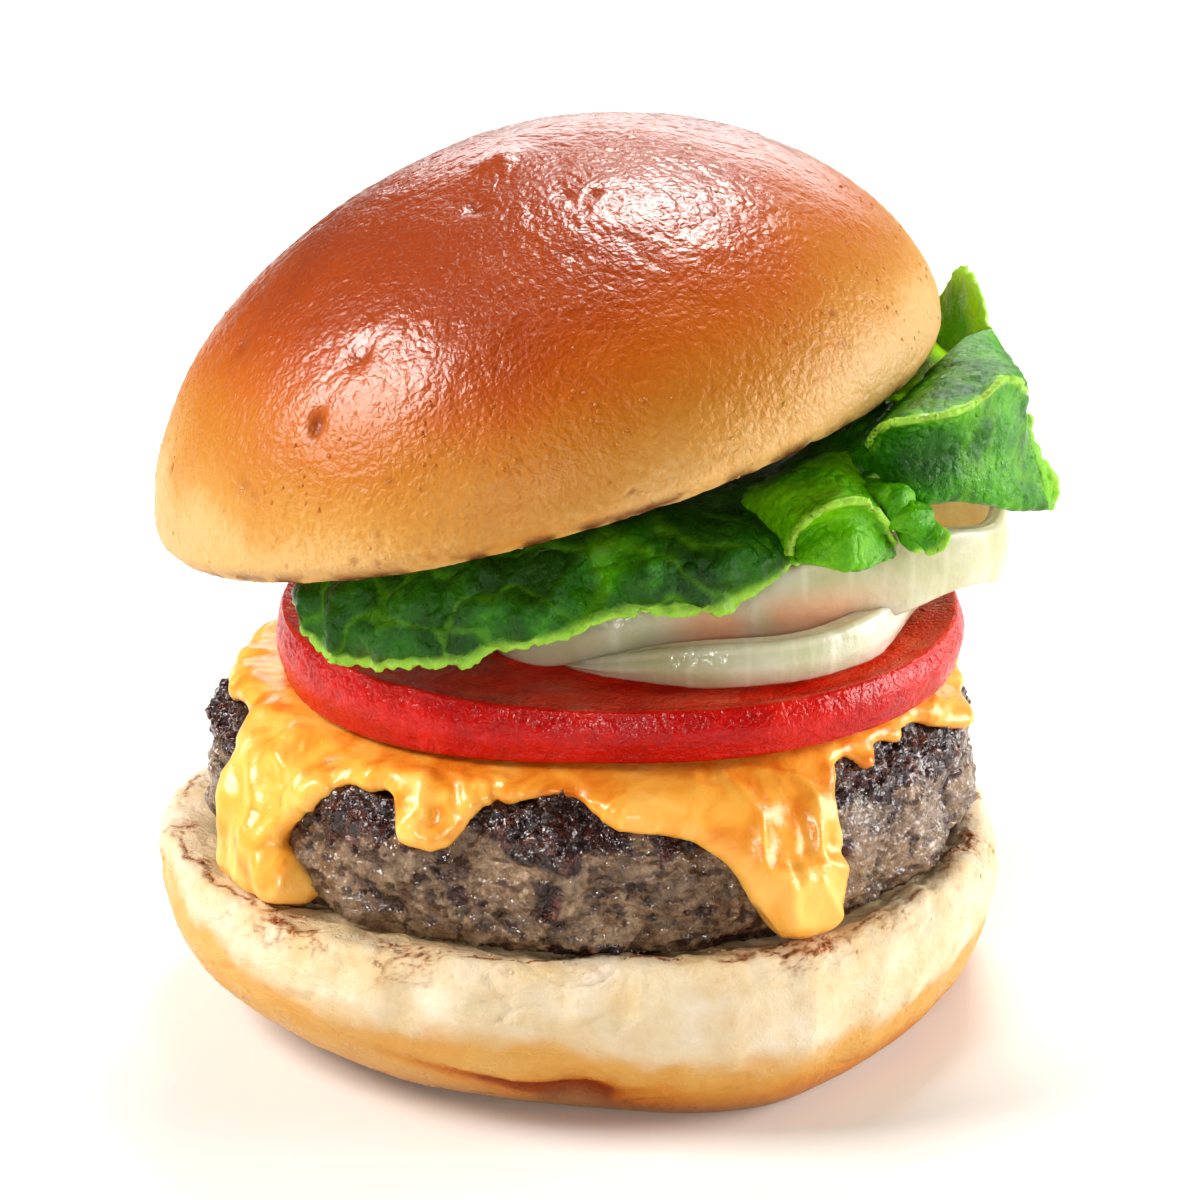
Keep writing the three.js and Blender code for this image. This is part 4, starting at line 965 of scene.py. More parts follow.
def make_front_leaf():
    """The broad leaf that lies over the onion and the tomato, and shows all round."""
    share = np.concatenate([np.linspace(0.02, 0.4, 7), np.linspace(0.45, 1, 56)])
    bearing = columns_of(FRONT_LEAF["columns"])
    least, most = FRONT_LEAF["tuck"]

    def ceiling(at, radius):
        p = around(at, radius, 0)
        drop = least + most * smooth(-8, 42, p[..., 0]) * smooth(36, 6, p[..., 1])
        return around(at, radius, cut_face(p[..., 0], p[..., 1]) - drop - LEAF_THICKNESS / 2)

    p = leaf_face(bearing, through(FRONT_LEAF["folds"], 360), FRONT_LEAF["root"], ceiling, share)
    free = smooth(0.5, 0.85, share)[:, None]
    p = p + around(bearing, 1, 0)[None] * (
        FRONT_LEAF["ripple_depth"] * free * waves(p, FRONT_LEAF["ripple_width"], 0.4))[..., None]
    pleats = 1 - 2.2 * np.abs(noise(wander(p, 9, 2.5, 94) * [1, 1, 0.42], 7.5, 95))
    p = p + around(bearing, 1, 0)[None] * (1.7 * pleats * smooth(0.45, 0.8, share)[:, None])[..., None]
    margin = smooth(0.9, 1.0, share)[:, None] + 0 * bearing
    blade = smooth(0.35, 0.6, share)[:, None] + 0 * bearing
    return leaf_piece("lettuce_front", p, True, margin, blade, 100, blister=0.5, tone=FRONT_LEAF["tone"])


def make_side_leaf(name, spec, seed):
    """A leaf over part of a turn, from under the crown to a free margin."""
    share = np.concatenate([np.linspace(0, 0.4, 8), np.linspace(0.44, 1, 58)])
    bearing = np.linspace(spec["from"], spec["to"], spec["columns"])

    def ceiling(at, radius):
        p = around(at, radius, 0)
        return around(at, radius, cut_face(p[..., 0], p[..., 1]) - spec["drop"] - LEAF_THICKNESS / 2)

    p = leaf_face(bearing, through(spec["folds"]), spec["root"], ceiling, share)
    margin = smooth(0.93, 1.0, share)[:, None] + 0 * bearing
    blade = smooth(0.35, 0.6, share)[:, None] + 0 * bearing
    return leaf_piece(name, p, False, margin, blade, seed, blister=0.25, tone=spec["tone"])


# Folds of lettuce that face the camera. Each row is a line over the leaf, from its root under the crown
# to its free edge, as spots [across, down, y]. The crest is a sharp edge, painted pale: partly the leaf's
# own pale colour, partly a painted highlight.
LEAF_FOLDS = {
    "bell": {
        "node": "lettuce_leaf_front", "tone": 1.3, "blister": 0.2,
        "rows": {
            "root": [[690, 520, -18], [730, 500, -18], [770, 480, -18], [810, 462, -18], [850, 445, -16],
                [880, 440, -14]],
            "neck": [[722, 520, -28], [748, 500, -29], [778, 482, -30], [812, 466, -30], [850, 458, -27],
                [876, 462, -23]],
            "shoulder": [[748, 528, -33], [768, 508, -34], [795, 490, -35], [825, 480, -34],
                [856, 478, -31], [880, 488, -27]],
            "brow": [[774, 546, -36], [784, 522, -37], [808, 504, -38], [840, 494, -37.5],
                [868, 498, -35], [888, 519, -31]],
            "crest": [[789, 556, -38], [796, 532, -39.5], [822, 510, -41], [852, 501, -40.5],
                [878, 513, -37.5], [892, 545, -33.5]],
            "under_crest": [[790, 558, -37], [801, 543, -38], [825, 524, -39], [853, 516, -38.5],
                [876, 527, -36], [893, 549, -32.8]],
            "hollow": [[791, 560, -38], [808, 552, -40], [832, 545, -41], [855, 540, -40.5],
                [876, 543, -37.6], [894, 552, -33.3]],
            "belly": [[792, 561, -37.5], [811, 562, -40.5], [834, 566, -41.5], [857, 566, -41],
                [877, 561, -38], [895, 554, -33.5]],
            "tuck": [[796, 560, -34], [814, 559, -36], [834, 560, -37], [856, 560, -36.5],
                [876, 556, -34.5], [890, 552, -31]],
        },
    },
    "scroll": {
        "node": "lettuce_leaf_right", "tone": 0.3, "blister": 0.16,
        "rows": {
            "root": [[845, 445, -15], [872, 422, -15], [900, 398, -14], [925, 378, -11], [948, 358, -8],
                [965, 342, -5], [980, 335, -3], [990, 332, -1]],
            "neck": [[852, 450, -23], [878, 424, -24], [905, 402, -22], [930, 384, -19], [952, 368, -15],
                [972, 356, -11], [990, 350, -8], [1004, 352, -5]],
            "shoulder": [[860, 448, -27], [878, 428, -28.5], [905, 410, -28.5], [930, 396, -26],
                [954, 382, -22], [978, 369, -18], [998, 363, -14], [1014, 366, -10]],
            "brow": [[865, 446, -29], [878, 429, -31.5], [904, 416, -32.5], [931, 409, -31],
                [956, 400, -28], [980, 387, -24], [1002, 372, -19.5], [1022, 378, -14.5]],
            "crest": [[866, 445, -30], [880, 426, -32.5], [904, 421, -34.5], [931, 417, -34],
                [956, 411, -32], [978, 400, -28.5], [1003, 378, -24], [1027, 392, -18]],
            "under_crest": [[866, 455, -29], [880, 438, -31], [904, 434, -32.2], [931, 429, -31.6],
                [956, 425, -29.8], [980, 417, -27], [1003, 402, -23], [1025, 421, -17]],
            "hollow": [[864, 472, -28.5], [880, 462, -30.5], [904, 458, -31.4], [931, 455, -30.4],
                [957, 451, -28.6], [982, 447, -26], [1006, 442, -23], [1031, 455, -17]],
            "belly": [[860, 487, -27.5], [880, 484, -29.5], [904, 484, -31.5], [931, 482, -31],
                [957, 480, -29.5], [983, 479, -27], [1009, 480, -23.5], [1040, 482, -17.5]],
            "lip": [[858, 497, -26.5], [880, 499, -29], [905, 500, -31], [930, 500, -30.5],
                [957, 498, -29], [984, 500, -26.5], [1012, 507, -22.5], [1046, 506, -17]],
            "tuck": [[860, 493, -20], [882, 496, -23], [905, 497, -25], [930, 497, -25], [957, 495, -23],
                [984, 497, -21], [1010, 503, -17], [1040, 502, -13]],
        },
    },
    "strip": {
        "node": "lettuce_leaf_right", "tone": 1.4, "blister": 0.12,
        "rows": {
            "back": [[1000, 395, -13], [1008, 425, -13], [1018, 455, -13], [1026, 482, -13],
                [1034, 505, -13]],
            "ridge": [[1014, 402, -13.5], [1020, 426, -14], [1031, 456, -14], [1039, 484, -14],
                [1042, 508, -14]],
            "crest": [[1022, 410, -12.5], [1025, 430, -12], [1039, 458, -11.5], [1048, 488, -11.5],
                [1049, 511, -12]],
        },
    },
    "throat": {
        "node": "lettuce_leaf_right", "tone": -0.3, "blister": 0.4,
        "rows": {
            "root": [[780, 470, -14], [815, 445, -14], [850, 420, -14], [885, 400, -14]],
            "neck": [[792, 482, -22], [824, 458, -23], [856, 438, -23], [886, 420, -22]],
            "shoulder": [[812, 492, -27], [838, 474, -28], [862, 458, -28], [884, 446, -27]],
            "crest": [[838, 505, -30], [856, 492, -30.5], [872, 482, -30], [888, 474, -29]],
        },
    },
}

# Steps from one spot of a fold to the next, down its lines and across them
FOLD_STEPS = (15, 26)

# A tight roll between the two folds: [across, down, y, radius] along its middle line
LEAF_CURL = {
    "node": "lettuce_leaf_front", "turns": 1.35,
    "line": [
        [856, 482, -26, 1.0], [874, 493, -31, 1.8], [893, 506, -33, 2.4], [910, 520, -33, 2.7],
        [924, 536, -32, 3.1],
    ],
}


def outward_of(p):
    """Unit directions away from the upright line through the middle of the stack."""
    out = p * [1, 1, 0]
    return out / np.maximum(np.linalg.norm(out, axis=-1, keepdims=True), 1e-9)


def make_fold(name, spec, seed):
    """A fold of leaf on a smooth face through its rows, with a sharp edge along its crest, painted pale:
    partly the leaf's own pale colour, partly a painted highlight.
    """
    knots = seen(list(spec["rows"].values()))
    crest, last = list(spec["rows"]).index("crest"), len(knots) - 1
    columns = FOLD_STEPS[1] * (knots.shape[1] - 1) + 1
    spans = [(0, crest)] + ([(crest, last)] if crest < last else [])
    parts = [centripetal(knots[a:b + 1], np.linspace(0, 1, FOLD_STEPS[0] * (b - a) + 1))
             for a, b in spans]
    p = np.concatenate([parts[0]] + [part[1:] for part in parts[1:]])
    p = centripetal(p.transpose(1, 0, 2), np.linspace(0, 1, columns)).transpose(1, 0, 2)
    steps = np.linalg.norm(np.diff(p, axis=0), axis=-1)
    reach = np.concatenate([0 * steps[:1], np.cumsum(steps, 0)])
    off = reach - reach[FOLD_STEPS[0] * crest]
    # A narrow pale line on the crest, which also carries a painted highlight along the ridge
    margin = np.exp(-(off / 0.62) ** 2)
    blade = smooth(0, 4, reach) * (1 - 0.6 * margin)
    frill = 0.5 + 0.9 * noise(p, 3.2, seed + 40) + 0.5 * noise(p, 1.3, seed + 41)
    p = p + (frill * margin)[..., None] * outward_of(p) + (0.5 * frill * margin)[..., None] * [0, 0, 1]
    return leaf_piece("lettuce_" + name, p, False, margin, blade, seed,
                      blister=spec["blister"], tone=spec["tone"], frill=0.6)


def make_curl(seed):
    """A narrow part of the leaf rolled up on itself, opening out into lobes at its free end."""
    line = np.array(LEAF_CURL["line"])
    knots = np.concatenate([seen(line[:, :3]), line[:, 3:]], 1)[:, None]
    along = np.linspace(0, 1, 90)
    course = centripetal(knots, along)[:, 0]
    axis = np.gradient(course[:, :3], axis=0)
    axis /= np.linalg.norm(axis, axis=1, keepdims=True)
    out = np.cross(axis, [0, 0, 1])
    out /= np.linalg.norm(out, axis=1, keepdims=True)
    up = np.cross(out, axis)
    turn = np.linspace(0, math.tau * LEAF_CURL["turns"], 110)
    wind = mix(0.45, 1.0, turn / turn[-1])[:, None] * course[None, :, 3]
    wind = wind * (1 + 0.3 * smooth(0.6, 1, along) * np.sin(turn[:, None] * 2.5 + 1)
                   + 0.16 * np.sin(along * 17 + 2 * turn[:, None]))
    p = (course[None, :, :3] + (np.cos(turn)[:, None] * wind)[..., None] * up
         + (np.sin(turn)[:, None] * wind)[..., None] * out)
    margin = smooth(0.86, 1, along)[None, :] + 0 * turn[:, None]
    return leaf_piece("lettuce_curl", p, False, margin, 1 - 0.3 * margin, seed,
                      blister=0.3, tone=0.7, frill=0.8)


# ---- Materials ----

def linear(code):
    """An sRGB hex colour as linear values."""
    values = [int(code[i:i + 2], 16) / 255 for i in (0, 2, 4)]
    return tuple(v / 12.92 if v <= 0.04045 else ((v + 0.055) / 1.055) ** 2.4 for v in values) + (1.0,)


def add(tree, kind, inputs=None, stops=None, out=None, **settings):
    """Adds a node with its settings and gives its output. Inputs that are sockets are linked, and stops
    fill a colour ramp. A short kind is a shader node's. Without out, the first output in use is given."""
    made = tree.nodes.new(kind if "Node" in kind else "ShaderNode" + kind)
    for key, value in settings.items():
        setattr(made, key, value)
    for key, value in (inputs or {}).items():
        if isinstance(value, bpy.types.NodeSocket):
            tree.links.new(value, made.inputs[key])
        else:
            made.inputs[key].default_value = value
    if stops:
        elements = made.color_ramp.elements
        while len(elements) < len(stops):
            elements.new(0.5)
        for element, (place, code) in zip(elements, stops):
            element.position = place
            element.color = linear(code)
    return made.outputs[out] if out else next((socket for socket in made.outputs if socket.enabled), made)


def new_material(name, *fields):
    """An empty material, its tree and shader, the place in millimetres and the mesh's fields by name."""
    material = bpy.data.materials.new(name)
    material.use_nodes = True
    tree = material.node_tree
    shader = tree.nodes["Principled BSDF"]
    place = add(tree, "TexCoord", out="Object")
    scaled = add(tree, "VectorMath", {0: place, 1: (1 / MM, 1 / MM, 1 / MM)}, operation="MULTIPLY")
    values = [add(tree, "Attribute", out="Fac", attribute_name=field) for field in fields]
    return material, tree, shader, scaled, *values


def set_shader(shader, **values):
    """Sets the shader's own sockets to values that are the same all over, and links those that vary."""
    for key, value in values.items():
        socket = shader.inputs[key.replace("_", " ")]
        if isinstance(value, bpy.types.NodeSocket):
            shader.id_data.links.new(value, socket)
        else:
            socket.default_value = value


def crust_material():
    """Egg-washed milk bun crust, baked: deep brown and glossy on top, golden and drier towards the cut."""
    material, tree, shader, place, bake, dent, crust, scorch = new_material(
        "egg_washed_bun_crust", "bake", "dent", "crust", "scorch")
    blotch = add(tree, "TexNoise", {"Vector": place, "Scale": 0.07, "Detail": 5})
    speck = add(tree, "TexNoise", {"Vector": place, "Scale": 1.0, "Detail": 4, "Roughness": 0.7})
    shifted = add(tree, "Math", {0: blotch, 1: 0.34, 2: bake}, operation="MULTIPLY_ADD")
    level = add(tree, "Math", {0: speck, 1: 0.3, 2: shifted}, operation="MULTIPLY_ADD")
    lowered = add(tree, "Math", {0: level, 1: 0.32}, operation="SUBTRACT")
    colour = add(tree, "ValToRGB", {"Fac": lowered}, stops=[
        (0.0, "CEA466"), (0.12, "C28A3C"), (0.3, "B8741E"), (0.54, "B45E0E"), (0.78, "A84A04"),
        (1.0, "943A02")])
    dark = add(tree, "Mix", {0: dent, 6: colour, 7: linear("7A2E06")}, data_type="RGBA")
    crumb = add(tree, "Mix", {0: crust, 6: linear("E2B878"), 7: dark}, data_type="RGBA")
    toasted = add(tree, "Mix", {0: scorch, 6: crumb, 7: linear("5E2A0C")}, data_type="RGBA")
    gloss = add(tree, "MapRange", {"Value": bake, "To Min": 0.45, "To Max": 0.3})
    wrinkle = add(tree, "TexVoronoi", {"Vector": place, "Scale": 0.9}, feature="DISTANCE_TO_EDGE")
    fine = add(tree, "TexNoise", {"Vector": place, "Scale": 1.7, "Detail": 3, "Roughness": 0.6})
    both = add(tree, "Math", {0: fine, 1: 1.0, 2: wrinkle}, operation="MULTIPLY_ADD")
    bump = add(tree, "Bump", {"Strength": 0.6, "Distance": 0.0003, "Height": both})
    film = add(tree, "Bump", {"Strength": 0.5, "Distance": 0.00016, "Height": both})
    glaze = add(tree, "MapRange", {"Value": bake, "From Min": 0.42, "From Max": 0.85, "To Min": 0.06,
        "To Max": 0.75})
    set_shader(shader, Base_Color=toasted, Roughness=gloss, Normal=bump, Coat_Normal=film,
        Coat_Weight=glaze, IOR=1.38, Coat_Roughness=0.11, Coat_IOR=1.5)
    return material


def heel_material():
    """Pressed bread crumb, toasted in rusty threads along the cut, over a thin golden crust."""
    material, tree, shader, place, crumb, toast, stain, scorch, foot = new_material(
        "pressed_bread_crumb", "crumb", "toast", "stain", "scorch", "foot")
    blotch = add(tree, "TexNoise", {"Vector": place, "Scale": 0.16, "Detail": 6, "Roughness": 0.6})
    cream = add(tree, "ValToRGB", {"Fac": blotch}, stops=[
        (0.3, "E6C896"), (0.45, "ECD5AC"), (0.6, "F1DFC0"), (0.75, "F6EAD4")])
    # Deeper crust towards the foot, with painted shade in the front fold and pinch, from the foot field
    crust_mix = add(tree, "Math", {0: blotch, 1: 0.5, 2: foot}, operation="MULTIPLY_ADD")
    crust = add(tree, "ValToRGB", {"Fac": crust_mix}, stops=[
        (0.2, "E6B464"), (0.45, "DE9C42"), (0.75, "CA7620"), (1.0, "984208")])
    body = add(tree, "Mix", {0: crumb, 6: crust, 7: cream}, data_type="RGBA")
    tan = add(tree, "Math", {0: stain, 1: 0.55}, operation="MULTIPLY")
    warmed = add(tree, "Mix", {0: tan, 6: body, 7: linear("E4C08A")}, data_type="RGBA")
    grit = add(tree, "TexNoise", {"Vector": place, "Scale": 1.4, "Detail": 4, "Roughness": 0.7})
    gritty = add(tree, "MapRange", {"Value": grit, "From Min": 0.36, "From Max": 0.5, "To Min": 0.25})
    marked = add(tree, "Math", {0: gritty, 1: toast}, operation="MULTIPLY", use_clamp=True)
    brown = add(tree, "ValToRGB", {"Fac": grit}, stops=[(0.4, "C2701F"), (0.5, "9C4E0C"), (0.62, "703406")])
    baked = add(tree, "Math", {0: scorch, 1: 0.25}, operation="MULTIPLY")
    golden = add(tree, "Mix", {0: baked, 6: warmed, 7: linear("D69A50")}, data_type="RGBA")
    final = add(tree, "Mix", {0: marked, 6: golden, 7: brown}, data_type="RGBA")
    shine = add(tree, "TexNoise", {"Vector": place, "Scale": 0.22, "Detail": 3})
    rough = add(tree, "MapRange", {"Value": shine, "From Min": 0.35, "From Max": 0.65, "To Min": 0.52,
        "To Max": 0.22})
    pore = add(tree, "TexNoise", {"Vector": place, "Scale": 1.3, "Detail": 6, "Roughness": 0.7})
    sunk = add(tree, "Math", {0: marked, 1: -0.2, 2: pore}, operation="MULTIPLY_ADD")
    bump = add(tree, "Bump", {"Strength": 0.7, "Distance": 0.0007, "Height": sunk})
    set_shader(shader, Base_Color=final, Roughness=rough, Normal=bump, IOR=1.4, Subsurface_Weight=0.1,
        Subsurface_Radius=(1.0, 0.7, 0.4), Subsurface_Scale=0.0012)
    return material


def beef_material():
    """Coarse ground beef, griddled: grey-brown meat, black-red char with fat shining on it."""
    material, tree, shader, place, char, hollow, smear = new_material(
        "griddled_ground_beef", "char", "hollow", "smear")
    grain = add(tree, "TexNoise", {"Vector": place, "Scale": 0.5, "Detail": 6, "Roughness": 0.7})
    meat = add(tree, "ValToRGB", {"Fac": grain}, stops=[
        (0.35, "4A2C1A"), (0.42, "866444"), (0.54, "A68664"), (0.66, "C8AA88")])
    pale = add(tree, "MapRange", {"Value": smear, "From Min": 0.1, "From Max": 0.4, "To Max": 0.45})
    fatty = add(tree, "Mix", {0: pale, 6: meat, 7: linear("B49A80")}, data_type="RGBA")
    stain = add(tree, "MapRange", {"Value": smear, "From Min": -0.24, "From Max": -0.42, "To Max": 0.85})
    lean = add(tree, "Mix", {0: stain, 6: fatty, 7: linear("4A2210")}, data_type="RGBA")
    black = add(tree, "ValToRGB", {"Fac": grain}, stops=[
        (0.36, "120302"), (0.48, "3C0E05"), (0.58, "6A2C14"), (0.7, "9C6844")])
    patch = add(tree, "TexNoise", {"Vector": place, "Scale": 0.6, "Detail": 6, "Roughness": 0.75,
        "Distortion": 1.4})
    burn = add(tree, "Math", {0: patch, 1: 1.6, 2: char}, operation="MULTIPLY_ADD")
    where = add(tree, "MapRange", {"Value": burn, "From Min": 1.12, "From Max": 1.36})
    colour = add(tree, "Mix", {0: where, 6: lean, 7: black}, data_type="RGBA")
    shade = add(tree, "Math", {0: hollow, 1: 0.8}, operation="MULTIPLY", use_clamp=True)
    deep = add(tree, "Mix", {0: shade, 6: colour, 7: linear("2A0E06")}, data_type="RGBA")
    wet = add(tree, "TexNoise", {"Vector": place, "Scale": 0.5, "Detail": 4})
    rough = add(tree, "MapRange", {"Value": wet, "From Min": 0.36, "From Max": 0.54, "To Min": 0.4,
        "To Max": 0.14})
    fibre = add(tree, "TexNoise", {"Vector": place, "Scale": 0.9, "Detail": 6, "Roughness": 0.65,
        "Distortion": 1.0})
    bump = add(tree, "Bump", {"Strength": 1.0, "Distance": 0.0013, "Height": fibre})
    fat = add(tree, "TexNoise", {"Vector": place, "Scale": 0.6, "Detail": 2, "Distortion": 1.0})
    film = add(tree, "Bump", {"Strength": 0.8, "Distance": 0.0012, "Height": fat})
    set_shader(shader, Base_Color=deep, Roughness=rough, Normal=bump, Coat_Normal=film, IOR=1.45,
        Coat_Weight=0.9, Coat_Roughness=0.05, Coat_IOR=1.55)
    return material


def cheese_material():
    """Processed cheddar slice, melted: smooth and wet, darker close in under the slice above, partly deeper
    amber and partly painted shade.
    """
    material, tree, shader, place, fold, thin = new_material("melted_cheddar", "fold", "thin")
    streak = add(tree, "TexNoise", {"Vector": place, "Scale": 0.13, "Detail": 3, "Distortion": 1.2})
    folded = add(tree, "Math", {0: fold, 1: 0.1, 2: streak}, operation="MULTIPLY_ADD")
    # Lighter out from the patty, darker close in under the tomato: partly deeper amber, partly painted shade
    level = add(tree, "Math", {0: thin, 1: 0.09, 2: folded}, operation="MULTIPLY_ADD")
    colour = add(tree, "ValToRGB", {"Fac": level}, stops=[
        (0.34, "D6741A"), (0.46, "E89430"), (0.58, "F2AC46"), (0.76, "F8BE60")])
    soft = add(tree, "TexNoise", {"Vector": place, "Scale": 0.5, "Detail": 4})
    rough = add(tree, "MapRange", {"Value": soft, "To Min": 0.18, "To Max": 0.42})
    bump = add(tree, "Bump", {"Strength": 0.3, "Distance": 0.0008, "Height": soft})
    set_shader(shader, Base_Color=colour, Roughness=rough, Normal=bump, IOR=1.45, Subsurface_Weight=0.2,
        Subsurface_Radius=(1.0, 0.45, 0.1), Subsurface_Scale=0.0018, Coat_Weight=0.18, Coat_Roughness=0.1)
    return material


def tomato_material():
    """Ripe tomato, sliced: taut red skin with fine pitting, bright wet flesh on the cut."""
    material, tree, shader, place, flesh, pitted = new_material("ripe_tomato", "flesh", "pitted")
    blotch = add(tree, "TexNoise", {"Vector": place, "Scale": 0.16, "Detail": 4})
    skin = add(tree, "ValToRGB", {"Fac": blotch}, stops=[(0.3, "AE0C06"), (0.5, "BE1208"), (0.7, "CC2010")])
    # Painted shade in the skin's pits: darker red where the skin is sunk
    pit_shade = add(tree, "MapRange", {"Value": pitted, "From Min": 0.3, "From Max": 1.0, "To Max": 0.3})
    skin_with_pit_shade = add(tree, "Mix", {0: pit_shade, 6: skin, 7: linear("8E0804")}, data_type="RGBA")
    pulp = add(tree, "ValToRGB", {"Fac": blotch}, stops=[(0.3, "F02A14"), (0.5, "FF4628"), (0.7, "FF6C50")])
    colour = add(tree, "Mix", {0: flesh, 6: skin_with_pit_shade, 7: pulp}, data_type="RGBA")
    rough = add(tree, "MapRange", {"Value": flesh, "To Min": 0.24, "To Max": 0.16})
    pit = add(tree, "TexNoise", {"Vector": place, "Scale": 1.4, "Detail": 2, "Distortion": 0.6})
    bump = add(tree, "Bump", {"Strength": 0.6, "Distance": 0.0005, "Height": pit})
    set_shader(shader, Base_Color=colour, Roughness=rough, Normal=bump, IOR=1.4, Subsurface_Weight=0.2,
        Subsurface_Radius=(1.0, 0.1, 0.04), Subsurface_Scale=0.003)
    return material


def onion_material():
    """Raw white onion, cut in rings: translucent, creamy outside and faintly pink within, moist."""
    material, tree, shader, place, inside, vein, pink_shade_and_tomato_bounce = new_material(
        "raw_white_onion", "inside", "vein", "pink_shade_and_tomato_bounce")
    blotch = add(tree, "TexNoise", {"Vector": place, "Scale": 0.11, "Detail": 3})
    outer = add(tree, "ValToRGB", {"Fac": blotch}, stops=[
        (0.3, "B4B28A"), (0.5, "C4C2A4"), (0.7, "D2D0BC")])
    inner = add(tree, "ValToRGB", {"Fac": blotch}, stops=[
        (0.3, "E0CCB0"), (0.55, "E6D8C0"), (0.75, "ECE4D2")])
    side = add(tree, "Mix", {0: inside, 6: outer, 7: inner}, data_type="RGBA")
    line = add(tree, "MapRange", {"Value": vein, "From Min": 0.1, "From Max": 0.6, "To Max": 0.3})
    colour = add(tree, "Mix", {0: line, 6: side, 7: linear("F4F0DE")}, data_type="RGBA")
    # Painted shade and red reflection from the tomato, with the onion's faint pink
    pink = add(tree, "Mix", {0: pink_shade_and_tomato_bounce, 6: colour, 7: linear("DCAA88")}, data_type="RGBA")
    film = add(tree, "TexNoise", {"Vector": place, "Scale": 0.5, "Detail": 4})
    rough = add(tree, "MapRange", {"Value": film, "To Min": 0.05, "To Max": 0.32})
    bump = add(tree, "Bump", {"Strength": 0.5, "Distance": 0.0006, "Height": film})
    set_shader(shader, Base_Color=pink, Roughness=rough, Normal=bump, IOR=1.4, Subsurface_Weight=0.8,
        Subsurface_Radius=(1.0, 0.92, 0.7), Subsurface_Scale=0.006)
    return material


def lettuce_material():
    """Green leaf lettuce: waxy crumpled blade that lets light through, pale crisp margin."""
    material, tree, shader, place, vein, margin, hollow, glow = new_material(
        "green_leaf_lettuce", "vein", "margin", "hollow", "light")
    blotch = add(tree, "TexNoise", {"Vector": place, "Scale": 0.2, "Detail": 5, "Roughness": 0.65})
    mottle = add(tree, "TexNoise", {"Vector": place, "Scale": 1.4, "Detail": 3, "Roughness": 0.6})
    level = add(tree, "Math", {0: mottle, 1: 0.35, 2: blotch}, operation="MULTIPLY_ADD")
    calm = add(tree, "Math", {0: level, 1: 0.5, 2: 0.13}, operation="MULTIPLY_ADD")
    lifted = add(tree, "Math", {0: glow, 1: 0.16, 2: calm}, operation="MULTIPLY_ADD")
    blade = add(tree, "ValToRGB", {"Fac": lifted}, stops=[
        (0.3, "174602"), (0.46, "286A03"), (0.6, "4C9A04"), (0.8, "7EC00A"), (0.95, "A0D01A")])
    deep = add(tree, "Math", {0: hollow, 1: 0.55}, operation="MULTIPLY", use_clamp=True)
    shaded = add(tree, "Mix", {0: deep, 6: blade, 7: linear("123802")}, data_type="RGBA")
    light = add(tree, "Math", {0: vein, 1: 0.3}, operation="MULTIPLY")
    veined = add(tree, "Mix", {0: light, 6: shaded, 7: linear("74B410")}, data_type="RGBA")
    # Pale margins; along the folds' crests the pale line is also a painted highlight
    rim = add(tree, "MapRange", {"Value": margin, "From Min": 0.25, "From Max": 0.9, "To Max": 0.85})
    colour = add(tree, "Mix", {0: rim, 6: veined, 7: linear("A2D04A")}, data_type="RGBA")
    wax = add(tree, "TexNoise", {"Vector": place, "Scale": 0.35, "Detail": 3})
    rough = add(tree, "MapRange", {"Value": wax, "From Min": 0.3, "From Max": 0.65, "To Min": 0.14,
        "To Max": 0.42})
    skin = add(tree, "TexNoise", {"Vector": place, "Scale": 1.2, "Detail": 4, "Roughness": 0.6})
    bump = add(tree, "Bump", {"Strength": 0.7, "Distance": 0.0006, "Height": skin})
    set_shader(shader, Base_Color=colour, Roughness=rough, Normal=bump, IOR=1.36, Subsurface_Weight=0.3,
        Subsurface_Radius=(0.45, 1.0, 0.02), Subsurface_Scale=0.0012)
    return material


# Small lumps on a piece: its field that says where, lumps on a square millimetre, half widths in
# millimetres, height as a share of the width, and the seed
SCATTERS = {
    "glaze_beads": {
        "on": "glazed_bun_crown", "where": "glaze", "density": 0.16,
        "least": 0.14, "most": 0.34, "height": 0.5, "seed": 5,
    },
    "seared_crumbs": {
        "on": "seared_beef_patty", "where": "char", "density": 0.4,
        "least": 0.16, "most": 0.42, "height": 0.6, "seed": 8,
    },
    "toasted_crumbs": {
        "on": "toasted_bun_heel", "where": "toast", "density": 0.9,
        "least": 0.12, "most": 0.36, "height": 0.6, "seed": 11,
    },
}


